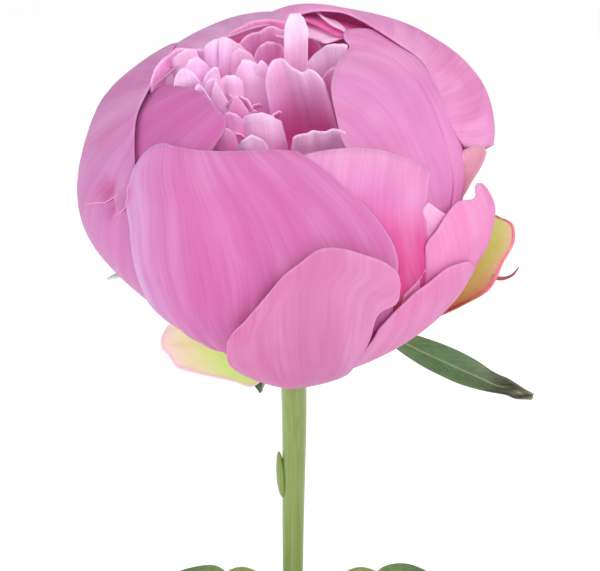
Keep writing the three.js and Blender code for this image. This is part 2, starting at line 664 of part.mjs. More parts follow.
function calyxGeometry() {
  const profile = [
    [0, CALYX_BOTTOM],
    [CALYX_RADIUS - 1, CALYX_BOTTOM],
    [CALYX_RADIUS, CALYX_BOTTOM + 1],
    [CALYX_RADIUS, CALYX_TOP],
    [0, CALYX_TOP],
  ];
  const bract = standingGrid(BRACT, STANDING_STEPS);
  const sepals = Object.values(SEPALS).map((sepal) => wrappedGrid(sepal, WRAPPED_STEPS));
  const sheets = [...sepals, bract].map((grid) => sheet(grid, LEAF_THICKNESS));
  const awn = tube(arched(AWN.foot, AWN.bow, AWN.tip), (t) => mix(AWN.radius, AWN.tipRadius, t), 6, 5);
  return joined([turned(profile, CALYX_SIDES), ...sheets, awn]);
}

// Leaves: each has a stalk that leaves the stem level, and one blade or three leaflets on its end.
// A blade folds up a little along its middle, waves at its edges and is narrow at both ends.

const UP = [0, -0.35, 1];
const BLADE_FOLD = 0.3;
const BLADE_WAVE = 0.06;
const BLADE_FOOT_HALF = 0.5;
const STALK_TAPER = 0.25;
const STALK_START = 2;

const LEAVES = {
  upper_leaf_right: {
    height: 221, azimuth: 100, stalkRadius: 1.1,
    stalk: [[8, 5.6, 225.5], [15, 4.8, 230], [21.5, 4.3, 232.2]],
    blades: [{
      foot: [19.5, 4.4, 231.8], bow: [45, 2, 223], tip: [61.5, 0, 213.4],
      half: 3.8, up: [0, -0.9, 1],
    }],
  },
  upper_leaf_left: {
    height: 219, azimuth: -110, stalkRadius: 1,
    stalk: [[-7, 6, 222.5], [-11, 7.5, 227]],
    blades: [{ foot: [-9.5, 7, 225.5], bow: [-26, 12, 249], tip: [-47.8, 18, 239.3], half: 6 }],
  },
  lower_leaf_left: {
    height: 157, azimuth: -70, stalkRadius: 1.6,
    stalk: [[-8, 1, 160.5], [-14, -4.5, 165.6], [-18.5, -7.5, 165]],
    blades: [
      { foot: [-17, -6.5, 165.4], bow: [-33, -18, 162], tip: [-50, -26, 124], half: 8.5 },
      { foot: [-17, -6.5, 165.4], bow: [-20, -27, 164], tip: [-26, -46, 132], half: 7 },
      { foot: [-17, -6.5, 165.4], bow: [-34, 0, 158], tip: [-52, 8, 130], half: 7 },
    ],
  },
  lower_leaf_right: {
    height: 154.5, azimuth: 70, stalkRadius: 1.6,
    stalk: [[10, 0, 159], [18, -4.5, 165.6], [23.5, -7, 165]],
    blades: [
      { foot: [22, -6, 165.2], bow: [38, -16, 162], tip: [55, -25, 122], half: 8.8 },
      { foot: [22, -6, 165.2], bow: [26, -27, 164], tip: [30, -48, 134], half: 7.4 },
      { foot: [22, -6, 165.2], bow: [38, 2, 157], tip: [57, 10, 129], half: 7.2 },
    ],
  },
};

function bladeGrid(blade, { columns, rows }) {
  const spine = arched(blade.foot, blade.bow, blade.tip);
  const grid = [];
  for (let row = 0; row <= rows; row += 1) {
    const v = row / rows;
    const tangent = spine.getTangent(v);
    const across = tangent.clone().cross(vector(blade.up ?? UP)).normalize();
    const upward = across.clone().cross(tangent);
    const width = Math.max(blade.half * Math.sin(Math.PI * v ** 0.8) ** 0.8, BLADE_FOOT_HALF);
    const line = [];
    for (let column = 0; column <= columns; column += 1) {
      const u = (2 * column) / columns - 1;
      const wave = BLADE_WAVE * blade.half * Math.sin(11 * v + 2 * u) * u * u;
      const point = spine.getPoint(v).addScaledVector(across, u * width);
      line.push(point.addScaledVector(upward, Math.abs(u) * width * BLADE_FOLD + wave));
    }
    grid.push(line);
  }
  return grid;
}

// A point beside the stem at a height, on the side that an azimuth from the front names
function besideStem(height, azimuth, away) {
  const t = stemShare(height);
  const side = new THREE.Vector3(Math.sin(radians(azimuth)), -Math.cos(radians(azimuth)), 0);
  return stemCourse.getPointAt(t).addScaledVector(side, stemRadius(t) + away);
}

function leafGeometry(leaf) {
  const root = besideStem(leaf.height, leaf.azimuth, SEAT_GAP);
  const level = besideStem(leaf.height, leaf.azimuth, SEAT_GAP + STALK_START);
  const course = new THREE.CatmullRomCurve3([root, level, ...leaf.stalk.map(vector)]);
  const stalk = tube(course, (t) => leaf.stalkRadius * (1 - STALK_TAPER * t), 8, 8);
  const blades = leaf.blades.map((blade) => sheet(bladeGrid(blade, LEAF_STEPS), LEAF_THICKNESS));
  return joined([stalk, ...blades]);
}

// The whole object

const GLASS = '#eef4f4';
const WATER = '#e4eeee';
const STEM_GREEN = '#8fa159';
const SEPAL_GREEN = '#bed681';
const LEAF_GREEN = '#4f6b38';
const PETAL_PINK = '#d67ab4';

const object = new THREE.Group();
object.add(piece('vase', vaseGeometry(), GLASS, 0.05));
object.add(piece('water', waterGeometry(), WATER, 0.05));
object.add(piece('stem', stemGeometry(), STEM_GREEN, 0.5));

const flower = new THREE.Group();
flower.position.copy(BLOOM_CENTRE);
flower.rotation.copy(bloomTurn);
flower.add(piece('calyx', calyxGeometry(), SEPAL_GREEN, 0.55));
flower.add(piece('bloom', bloomGeometry(), PETAL_PINK, 0.6));
object.add(flower);

Object.entries(LEAVES).forEach(([name, leaf]) => {
  object.add(piece(name, leafGeometry(leaf), LEAF_GREEN, 0.5));
});

export default object;
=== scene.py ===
"""A cut peony in a clear glass bud vase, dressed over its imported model. Metres, +Z up.
The bloom nods towards -Y, its front, and +X is the right side seen from there."""

import math

import bmesh
import bpy
import numpy as np
from mathutils import Matrix, Vector


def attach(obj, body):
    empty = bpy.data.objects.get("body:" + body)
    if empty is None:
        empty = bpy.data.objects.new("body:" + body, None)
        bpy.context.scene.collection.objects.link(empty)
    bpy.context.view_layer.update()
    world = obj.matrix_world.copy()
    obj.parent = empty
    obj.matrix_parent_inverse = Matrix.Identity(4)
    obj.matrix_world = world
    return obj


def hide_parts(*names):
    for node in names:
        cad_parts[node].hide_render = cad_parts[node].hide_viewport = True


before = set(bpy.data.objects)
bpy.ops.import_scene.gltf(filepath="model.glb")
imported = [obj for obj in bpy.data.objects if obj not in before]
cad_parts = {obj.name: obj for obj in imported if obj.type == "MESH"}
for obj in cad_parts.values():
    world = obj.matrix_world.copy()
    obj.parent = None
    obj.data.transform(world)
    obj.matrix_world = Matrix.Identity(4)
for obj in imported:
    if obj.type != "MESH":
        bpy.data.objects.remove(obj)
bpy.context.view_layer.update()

scene = bpy.context.scene
scene.view_settings.view_transform = "Standard"

# The camera. It looks down at the bloom at the photograph's angle, from far enough away that the
# petals keep their proportions.
BLOOM_CENTRE = Vector((-0.0016, -0.020, 0.276))
CAMERA_ELEVATION = math.radians(22)
CAMERA_DISTANCE = 0.6
CAMERA_LENS = 150
SENSOR_WIDTH = 36
IMAGE_WIDTH, IMAGE_HEIGHT = 600, 571
BLOOM_CENTRE_PIXEL = (285, 196)

forward = Vector((0, math.cos(CAMERA_ELEVATION), -math.sin(CAMERA_ELEVATION)))
camera_right = Vector((1, 0, 0))
camera_up = camera_right.cross(forward)
pixel = CAMERA_DISTANCE * SENSOR_WIDTH / CAMERA_LENS / IMAGE_WIDTH
aside = (BLOOM_CENTRE_PIXEL[0] - IMAGE_WIDTH / 2) * pixel
above = (IMAGE_HEIGHT / 2 - BLOOM_CENTRE_PIXEL[1]) * pixel
camera_data = bpy.data.cameras.new("camera")
camera_data.lens = CAMERA_LENS
camera_data.sensor_width = SENSOR_WIDTH
camera = bpy.data.objects.new("camera", camera_data)
scene.collection.objects.link(camera)
camera_place = BLOOM_CENTRE - forward * CAMERA_DISTANCE - camera_right * aside - camera_up * above
camera.location = camera_place
camera.rotation_euler = (math.pi / 2 - CAMERA_ELEVATION, 0, 0)
scene.camera = camera

# The vase, blown of clear glass in one piece: a thick foot, a round belly, a narrow neck and a
# flared lip. Its foot stands on the floor.
MM = 0.001
VASE_HEIGHT = 150
FOOT_RADIUS = 29
FOOT_EDGE = 2
BELLY_RADIUS = 36
BELLY_HEIGHT = 40
NECK_RADIUS = 10.5
NECK_LOW = 118
NECK_HIGH = 136
LIP_RADIUS = 14.5
GLASS_WALL = 2.5
GLASS_FLOOR = 8
VASE_SIDES = 96
WALL_STEPS = 56
LIP_STEPS = 40
FOOT_ROUNDING = 0.6
FOOT_STEPS = 6
LINE_EVENNESS = 0.6
LINE_STEPS = 40


def srgb(code):
    """A colour written as #rrggbb, as the linear values that shaders take."""
    parts = [int(code[i:i + 2], 16) / 255 for i in (1, 3, 5)]
    return tuple(c / 12.92 if c < 0.04045 else ((c + 0.055) / 1.055) ** 2.4 for c in parts) + (1.0,)


def node(tree, kind, inputs=None, **settings):
    """A new node in the tree with its settings, each input set to a value or linked to a socket."""
    made = tree.nodes.new(kind)
    for name, value in settings.items():
        setattr(made, name, value)
    for key, value in (inputs or {}).items():
        if isinstance(value, bpy.types.NodeSocket):
            tree.links.new(value, made.inputs[key])
        else:
            made.inputs[key].default_value = value
    return made


def new_material(name):
    """An empty node material, and its tree."""
    material = bpy.data.materials.new(name)
    material.use_nodes = True
    material.node_tree.nodes.clear()
    return material, material.node_tree


def show(tree, shader):
    """Ends a material's tree with its shader."""
    node(tree, "ShaderNodeOutputMaterial", {"Surface": shader})


def smooth_line(points, count):
    """A smooth curve through points, as count + 1 points evenly spaced along it. Uneven distances
    between the points are evened out a little, so that the curve doesn't overshoot."""
    points = np.array(points, float)
    if len(points) == 2:
        points = np.insert(points, 1, points.mean(0), axis=0)
    lengths = np.linalg.norm(np.diff(points, axis=0), axis=1)
    knots = np.insert(np.cumsum(lengths ** LINE_EVENNESS + 1e-9), 0, 0)
    slopes = np.gradient(points, knots, axis=0)
    places = np.linspace(0, knots[-1], LINE_STEPS * len(points))
    piece = np.clip(np.searchsorted(knots, places, side="right") - 1, 0, len(points) - 2)
    span = (knots[piece + 1] - knots[piece])[:, None]
    x = (places - knots[piece])[:, None] / span
    dense = (2 * x ** 3 - 3 * x ** 2 + 1) * points[piece]
    dense += (3 * x ** 2 - 2 * x ** 3) * points[piece + 1]
    dense += (x ** 3 - 2 * x ** 2 + x) * span * slopes[piece]
    dense += (x ** 3 - x ** 2) * span * slopes[piece + 1]
    run = np.insert(np.cumsum(np.linalg.norm(np.diff(dense, axis=0), axis=1)), 0, 0)
    even = np.linspace(0, run[-1], count + 1)
    return np.stack([np.interp(even, run, dense[:, k]) for k in range(points.shape[1])], 1)


def new_object(name, mesh, *materials):
    """An object with smooth faces and its materials, set into the scene."""
    for face in mesh.polygons:
        face.use_smooth = True
    for material in materials:
        mesh.materials.append(material)
    made = bpy.data.objects.new(name, mesh)
    scene.collection.objects.link(made)
    return made


def turned(name, profile, sides):
    """A mesh turned about +Z from [radius, height] pairs in millimetres. They start and end on the
    axis."""
    shape = bmesh.new()
    ring = [shape.verts.new((radius * MM, 0, height * MM)) for radius, height in profile]
    edges = [shape.edges.new(pair) for pair in zip(ring, ring[1:])]
    bmesh.ops.spin(
        shape, geom=ring + edges, axis=(0, 0, 1), cent=(0, 0, 0), steps=sides, angle=2 * math.pi)
    bmesh.ops.remove_doubles(shape, verts=shape.verts, dist=1e-6)
    bmesh.ops.recalc_face_normals(shape, faces=shape.faces)
    mesh = bpy.data.meshes.new(name)
    shape.to_mesh(mesh)
    shape.free()
    return mesh


def wall(foot_radius, start, thickness):
    """The line of the vase's wall from the foot to the neck, inside or outside the glass."""
    return smooth_line([
        [foot_radius, start],
        [BELLY_RADIUS - thickness, BELLY_HEIGHT],
        [(BELLY_RADIUS + NECK_RADIUS) / 2 - thickness, (BELLY_HEIGHT + NECK_LOW) / 2],
        [NECK_RADIUS - thickness, NECK_LOW],
        [NECK_RADIUS - thickness, NECK_HIGH],
    ], WALL_STEPS)


def rounded(pairs, count):
    """A smooth line through [radius, height] pairs, as a list of pairs."""
    return [list(pair) for pair in smooth_line(pairs, count)]


outer_wall = wall(FOOT_RADIUS, FOOT_EDGE, 0)
inner_wall = wall(FOOT_RADIUS - 2 * GLASS_WALL, GLASS_FLOOR + GLASS_WALL, GLASS_WALL)
floor_radius = FOOT_RADIUS - 3 * GLASS_WALL
lip = rounded([
    outer_wall[-1], [NECK_RADIUS + 1, VASE_HEIGHT - 8], [LIP_RADIUS - 1, VASE_HEIGHT - 3],
    [LIP_RADIUS, VASE_HEIGHT - 1], [LIP_RADIUS - GLASS_WALL / 2, VASE_HEIGHT],
    [LIP_RADIUS - GLASS_WALL, VASE_HEIGHT - 1], [NECK_RADIUS - GLASS_WALL + 1, VASE_HEIGHT - 8],
    inner_wall[-1],
], LIP_STEPS)
vase_profile = [[0, 0], [FOOT_RADIUS - FOOT_EDGE - FOOT_ROUNDING, 0]]
vase_profile += rounded([
    [FOOT_RADIUS - FOOT_EDGE, 0.1], [FOOT_RADIUS - FOOT_ROUNDING, 0.8], outer_wall[0],
], FOOT_STEPS)
vase_profile += [*outer_wall[1:], *lip[1:-1], *inner_wall[::-1]]
vase_profile += [[floor_radius, GLASS_FLOOR], [0, GLASS_FLOOR]]

glass, tree = new_material("clear_glass")
show(tree, node(tree, "ShaderNodeBsdfPrincipled", {
    "Base Color": srgb("#f4f9f8"), "Roughness": 0.02, "IOR": 1.46, "Transmission Weight": 1.0,
}).outputs[0])
vase = new_object("vase_glass", turned("vase_glass", vase_profile, VASE_SIDES), glass)
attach(vase, "root")
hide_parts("vase")

# The water, still and clear, which fills the vase round the stem to a level below the neck. A thin
# gap keeps it off the glass, and its surface climbs a little at the wall.
WATER_LEVEL = 88
WATER_GAP = 0.4
MENISCUS_HEIGHT = 0.8
MENISCUS_STEPS = ((0.8, 0.6), (1.6, 1))

wet = [pair for pair in inner_wall if pair[1] < WATER_LEVEL]
water_profile = [[0, GLASS_FLOOR + WATER_GAP], [floor_radius - WATER_GAP, GLASS_FLOOR + WATER_GAP]]
water_profile += [[radius - WATER_GAP, height] for radius, height in wet]
for inwards, drop in MENISCUS_STEPS:
    water_profile += [[water_profile[-1][0] - inwards, wet[-1][1] - MENISCUS_HEIGHT * drop]]
water_profile += [[0, wet[-1][1] - MENISCUS_HEIGHT]]
water_look, tree = new_material("still_water")
show(tree, node(tree, "ShaderNodeBsdfPrincipled", {
    "Base Color": srgb("#f2f8f6"), "Roughness": 0.0, "IOR": 1.33, "Transmission Weight": 1.0,
}).outputs[0])
water = new_object("still_water", turned("still_water", water_profile, VASE_SIDES), water_look)
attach(water, "root")
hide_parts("water")

# The stem, one green shoot: its foot stands on the vase's floor, its side leans on the neck and it
# nods to the front under the bloom. It swells to the receptacle and bears one scale leaf.
BLOOM_LEAN = math.radians(23)
BLOOM_SIDE_LEAN = math.radians(-2)
CALYX_BOTTOM = -42.1
SEAT_GAP = 0.3
STEM_FOOT_RADIUS = 2.7
STEM_TOP_RADIUS = 3.4
RECEPTACLE_RADIUS = 6.2
RECEPTACLE_LENGTH = 14
STEM_SWELLS_FROM = 0.6
STEM_SIDES = 32
STEM_STEPS = 160
SCALE_LEAF = {"width": 3, "depth": 4, "length": 13.6, "lean": -5, "place": (-3, 5.6, 189)}

bloom_turn = Matrix.Rotation(BLOOM_SIDE_LEAN, 3, "Y") @ Matrix.Rotation(BLOOM_LEAN, 3, "X")
bloom_axis = np.array(bloom_turn.col[2])
bloom_centre = np.array(BLOOM_CENTRE) / MM
stem_top = bloom_centre + bloom_axis * (CALYX_BOTTOM - SEAT_GAP)


def smooth_step(x):
    """A soft rise from 0 to 1 as x goes from 0 to 1."""
    x = np.clip(x, 0, 1)
    return x * x * (3 - 2 * x)


stem_course = smooth_line([
    [-1, -5.5, GLASS_FLOOR + SEAT_GAP + 0.2],
    [-0.4, -0.4, (GLASS_FLOOR + NECK_HIGH) / 2],
    [0, 4.6, NECK_HIGH + 2],
    [0.2, 6, VASE_HEIGHT + 25],
    [0.5, 5.6, VASE_HEIGHT + 55],
    stem_top - bloom_axis * RECEPTACLE_LENGTH,
    stem_top - bloom_axis * RECEPTACLE_LENGTH / 3,
    stem_top,
], STEM_STEPS)
stem_share = np.linspace(0, 1, STEM_STEPS + 1)
stem_length = np.linalg.norm(np.diff(stem_course, axis=0), axis=1).sum()
thicker = smooth_step((stem_share - STEM_SWELLS_FROM) / (1 - STEM_SWELLS_FROM))
stem_radii = STEM_FOOT_RADIUS + (STEM_TOP_RADIUS - STEM_FOOT_RADIUS) * thicker
below_top = (1 - stem_share) * stem_length
receptacle = 1 - smooth_step(below_top / RECEPTACLE_LENGTH)
stem_radii += (RECEPTACLE_RADIUS - STEM_TOP_RADIUS) * receptacle


def geometry_tree(name, inputs):
    """A Geometry Nodes tree with named inputs. Returns it with its input node's sockets by name."""
    tree = bpy.data.node_groups.new(name, "GeometryNodeTree")
    tree.interface.new_socket("Geometry", in_out="INPUT", socket_type="NodeSocketGeometry")
    tree.interface.new_socket("Geometry", in_out="OUTPUT", socket_type="NodeSocketGeometry")
    for label, kind in inputs.items():
        tree.interface.new_socket(label, in_out="INPUT", socket_type=kind)
    return tree, tree.nodes.new("NodeGroupInput").outputs


def grown(base, tree, values):
    """Runs a Geometry Nodes tree on an object and returns a plain object with the result."""
    modifier = base.modifiers.new(tree.name, "NODES")
    modifier.node_group = tree
    for item in tree.interface.items_tree:
        if item.in_out == "INPUT" and item.name in values:
            modifier[item.identifier] = values[item.name]
    bpy.context.view_layer.update()
    evaluated = base.evaluated_get(bpy.context.evaluated_depsgraph_get())
    mesh = bpy.data.meshes.new_from_object(evaluated)
    name = base.name
    bpy.data.objects.remove(base)
    made = bpy.data.objects.new(name, mesh)
    scene.collection.objects.link(made)
    return made


def store(mesh, name, kind, values):
    """Stores a value or a colour for each point of a mesh."""
    field = "color" if kind == "FLOAT_COLOR" else "value"
    mesh.attributes.new(name, kind, "POINT").data.foreach_set(field, values.reshape(-1))


def line_object(name, points, radii):
    """A bare line of points in millimetres, with a radius at each."""
    mesh = bpy.data.meshes.new(name)
    edges = [(i, i + 1) for i in range(len(points) - 1)]
    mesh.from_pydata([list(point * MM) for point in points], edges, [])
    store(mesh, "thickness", "FLOAT", np.array(radii) * MM)
    made = bpy.data.objects.new(name, mesh)
    scene.collection.objects.link(made)
    return made


shoot_tree, given = geometry_tree("shoot", {"Sides": "NodeSocketInt", "Skin": "NodeSocketMaterial"})
thickness = node(shoot_tree, "GeometryNodeInputNamedAttribute", {"Name": "thickness"},
                 data_type="FLOAT").outputs[0]
curve = node(shoot_tree, "GeometryNodeMeshToCurve", {"Mesh": given["Geometry"]}).outputs[0]
ring = node(shoot_tree, "GeometryNodeCurvePrimitiveCircle", {
    "Resolution": given["Sides"], "Radius": 1.0,
}).outputs[0]
shoot = node(shoot_tree, "GeometryNodeCurveToMesh", {
    "Curve": curve, "Profile Curve": ring, "Scale": thickness, "Fill Caps": True,
}).outputs[0]
shoot = node(shoot_tree, "GeometryNodeSetShadeSmooth", {"Geometry": shoot}).outputs[0]
shoot = node(shoot_tree, "GeometryNodeRealizeInstances", {"Geometry": shoot}).outputs[0]
shoot = node(shoot_tree, "GeometryNodeSetMaterial", {
    "Geometry": shoot, "Material": given["Skin"],
}).outputs[0]
node(shoot_tree, "NodeGroupOutput", {"Geometry": shoot})


def over_object(tree):
    """The place in the object's own frame, in metres."""
    return node(tree, "ShaderNodeTexCoord").outputs["Object"]


def noise(tree, place, scale=1.0, detail=3.0, stretch=None, distortion=0.0, dimensions="2D"):
    """Soft random values over a place, which may be stretched first."""
    if stretch:
        place = node(tree, "ShaderNodeMapping", {"Vector": place, "Scale": stretch}).outputs[0]
    return node(tree, "ShaderNodeTexNoise", {
        "Vector": place, "Scale": scale, "Detail": detail, "Distortion": distortion,
    }, noise_dimensions=dimensions).outputs[0]


def share_of(tree, value, low, high, least=0.0, most=1.0):
    """A share that goes from least to most as the value goes from low to high."""
    return node(tree, "ShaderNodeMapRange", {
        0: value, 1: low, 2: high, 3: least, 4: most,
    }).outputs[0]


def mixed(tree, factor, under, over, blend="MIX"):
    """The colour under with some of the colour over on it, by a factor from 0 to 1."""
    return node(tree, "ShaderNodeMix", {0: factor, 6: under, 7: over},
                data_type="RGBA", blend_type=blend).outputs[2]


def raised(tree, height, strength, distance):
    """A fine relief from a height, with its depth in metres."""
    return node(tree, "ShaderNodeBump", {
        "Strength": strength, "Distance": distance, "Height": height,
    }).outputs[0]


def maths(tree, operation, *values):
    """The result of one operation on values or sockets, in their order."""
    return node(tree, "ShaderNodeMath", dict(enumerate(values)), operation=operation).outputs[0]


stem_green, tree = new_material("stem_skin")
place = over_object(tree)
streaks = noise(tree, place, stretch=(1400, 1400, 30), dimensions="3D")
blotches = noise(tree, place, scale=55.0, detail=2, dimensions="3D")
height = node(tree, "ShaderNodeSeparateXYZ", {0: place}).outputs[2]
green = mixed(tree, share_of(tree, height, 0.14, 0.24), srgb("#6a7d36"), srgb("#788a42"))
green = mixed(tree, share_of(tree, streaks, 0.35, 0.7, 0.0, 0.45), green, srgb("#94a65a"))
green = mixed(tree, share_of(tree, blotches, 0.45, 0.75, 0.0, 0.3), green, srgb("#62763a"))
show(tree, node(tree, "ShaderNodeBsdfPrincipled", {
    "Base Color": green, "Roughness": 0.36, "Normal": raised(tree, streaks, 0.25, 0.0002),
    "Subsurface Weight": 0.12, "Subsurface Radius": (0.5, 1.0, 0.3), "Subsurface Scale": 0.0015,
    "Coat Weight": 0.25, "Coat Roughness": 0.3,
}).outputs[0])

scale_shape = bmesh.new()
bmesh.ops.create_uvsphere(scale_shape, u_segments=24, v_segments=20, radius=0.5)
for vertex in scale_shape.verts:
    towards_tip = vertex.co.z + 0.5
    vertex.co.x *= 1 - 0.35 * towards_tip
    vertex.co.y *= 1 - 0.5 * towards_tip
scale_size = Vector((SCALE_LEAF["width"], SCALE_LEAF["depth"], SCALE_LEAF["length"])) * MM
scale_turn = Matrix.Rotation(math.radians(SCALE_LEAF["lean"]), 4, "Y")
scale_place = Matrix.Translation(Vector(SCALE_LEAF["place"]) * MM)
scale_shape.transform(scale_place @ scale_turn @ Matrix.Diagonal((*scale_size, 1)))
scale_mesh = bpy.data.meshes.new("stem_scale_leaf")
scale_shape.to_mesh(scale_mesh)
scale_shape.free()
scale_leaf = new_object("stem_scale_leaf", scale_mesh, stem_green)
stem = grown(line_object("stem_shoot", stem_course, stem_radii), shoot_tree, {
    "Sides": STEM_SIDES, "Skin": stem_green,
})
for part in (stem, scale_leaf):
    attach(part, "root")
    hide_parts("stem")

# The broad petals, which grow from under the bloom and close round it, each laid on the next. Their
# edges are [azimuth, polar] pairs in degrees on the bloom's egg: azimuth from the front towards the
# right, polar from the stem up to the top. Lifts off the egg are in millimetres.
EGG_SIZE = np.array([50, 50, 39.6])
TAPER_ALL, TAPER_LEFT, TAPER_RIGHT = 0.1, 0.3, 0.13
TAPER_LEFT_START = 0.4
PETAL_THICKNESS = 0.45
BROAD_STEPS = (54, 62)
PETAL_MARGIN = "#f6dcee"
BROAD_MARGIN = 0.7
BROAD_SWELL = 0.35
BROAD_SWELL_SIZE = 34
LIFT_WEIGHT = 0.01
ROOTED_SHARE = 0.3
VEIN_SHIFT = 37.0


def egg_direction(pairs):
    """The direction from the middle of the egg for each [azimuth, polar] pair."""
    azimuth, polar = np.radians(np.array(pairs, float)).T
    across = np.sin(polar)
    return np.stack([across * np.sin(azimuth), -across * np.cos(azimuth), -np.cos(polar)], 1)


def egg_edge(points, count, lift):
    """A smooth line over the egg through [azimuth, polar] points, each with a lift of its own as a
    third value or the petal's. Returns directions with the weighted lift as a fourth value."""
    points = np.array([(*point, lift)[:3] for point in points], float)
    weighted = points[:, 2] * LIFT_WEIGHT
    line = smooth_line(np.column_stack([egg_direction(points[:, :2]), weighted]), count)
    line[:, :3] /= np.linalg.norm(line[:, :3], axis=1)[:, None]
    return line


def egg_width(direction):
    """How wide the egg is in a direction. It tapers towards the stem, most on its left."""
    low = np.clip(-direction[..., 2], 0, None)
    left = np.clip(-direction[..., 0], 0, None)
    right = np.clip(direction[..., 0], 0, None)
    left_share = np.clip((TAPER_LEFT_START - direction[..., 2]) / (1 + TAPER_LEFT_START), 0, 1)
    return 1 - TAPER_ALL * low ** 1.2 - TAPER_LEFT * left * left_share - TAPER_RIGHT * right * low


def on_egg(direction, further_out=1.0):
    """Points of the egg in the bloom's own frame, in millimetres."""
    return direction * EGG_SIZE * egg_width(direction)[..., None] * further_out


def nearness(direction, azimuth, polar, reach):
    """How near directions are to a spot of the egg, from 1 at the spot to 0 far from it."""
    cosine = direction @ egg_direction([[azimuth, polar]])[0]
    angle = np.degrees(np.arccos(np.clip(cosine, -1, 1)))
    return np.exp(-(angle / reach) ** 2)


def along(values, share):
    """The value at each share, from 0 to 1, of a list of evenly spaced values or of one number."""
    values = np.atleast_1d(np.array(values, float))
    return np.interp(share, np.linspace(0, 1, len(values)), values)


def unevenness(grid, seed, size):
    """Soft random swells of about one unit over points in millimetres, the same for one seed."""
    random = np.random.default_rng(seed)
    swell = np.zeros(grid.shape[:2])
    for octave in (1, 1, 1, 1, 2, 2, 2):
        direction = random.normal(size=3)
        direction /= np.linalg.norm(direction)
        waves = grid @ direction * (2 * math.pi * octave / size) + random.uniform(0, 6.3)
        swell += np.sin(waves) / octave
    return swell / 4


def in_place(grid):
    """Points of the bloom's own frame as points of the whole object, both in millimetres."""
    return bloom_centre + grid @ np.array(bloom_turn).T


def broad_petal(petal, steps=BROAD_STEPS, seed=0):
    """A patch between its drawn left, right and top edges and a base straight across the roots,
    lifted off the egg by its folds, waves, bulges and pits."""
    columns, rows = steps
    level = petal["lift"]
    left, right = egg_edge(petal["left"], rows, level), egg_edge(petal["right"], rows, level)
    top = egg_edge(petal["top"], columns, level)
    base = egg_edge([petal["left"][0], petal["right"][0]], columns, level)
    u = np.linspace(0, 1, columns + 1)[None, :, None]
    v = np.linspace(0, 1, rows + 1)[:, None, None]
    patch = (1 - u) * left[:, None] + u * right[:, None] + (1 - v) * base[None] + v * top[None]
    patch -= (1 - u) * (1 - v) * left[0] + u * (1 - v) * right[0]
    patch -= (1 - u) * v * left[-1] + u * v * right[-1]
    direction = patch[..., :3] / np.linalg.norm(patch[..., :3], axis=2)[..., None]
    outward = direction / EGG_SIZE
    outward /= np.linalg.norm(outward, axis=2)[..., None]
    u, v = u[..., 0], v[..., 0]
    grid = on_egg(direction)
    belly = petal.get("belly", 0) * (1 - (2 * u - 1) ** 2) * np.sin(np.pi * v)
    lift = patch[..., 3] / LIFT_WEIGHT + belly
    lift = lift + along(petal.get("rim", 0), u) * v ** petal.get("rim_power", 2)
    fading = np.sin(np.pi * np.clip(v, 0, 1)) ** 1.2
    for height, count, start in petal.get("folds", ()):
        bend = u + 0.1 * np.sin(3 * v + start)
        lift = lift + height * np.sin(2 * np.pi * count * bend + start) * fading
    for height, count, start in petal.get("waves", ()):
        lift = lift + height * np.sin(2 * np.pi * count * u + start) * v ** 10
    inside = (1 - v ** 8) * (1 - (1 - u) ** 8)
    for azimuth, polar, reach, height in petal.get("bulges", ()):
        lift = lift + inside * height * nearness(direction, azimuth, polar, reach)
    for azimuth, polar, reach, depth in petal.get("pits", ()):
        lift = lift - depth * nearness(direction, azimuth, polar, reach)
    rooted = smooth_step(v / ROOTED_SHARE)
    lift = lift + BROAD_SWELL * unevenness(grid, seed, BROAD_SWELL_SIZE) * rooted
    return in_place(grid + outward * lift[..., None])


def distances(grid, axis):
    """Real distances in millimetres along one axis of a petal's grid, from its first line."""
    steps = np.linalg.norm(np.diff(grid, axis=axis), axis=2)
    return np.insert(np.cumsum(steps, axis=axis), 0, 0, axis=axis)


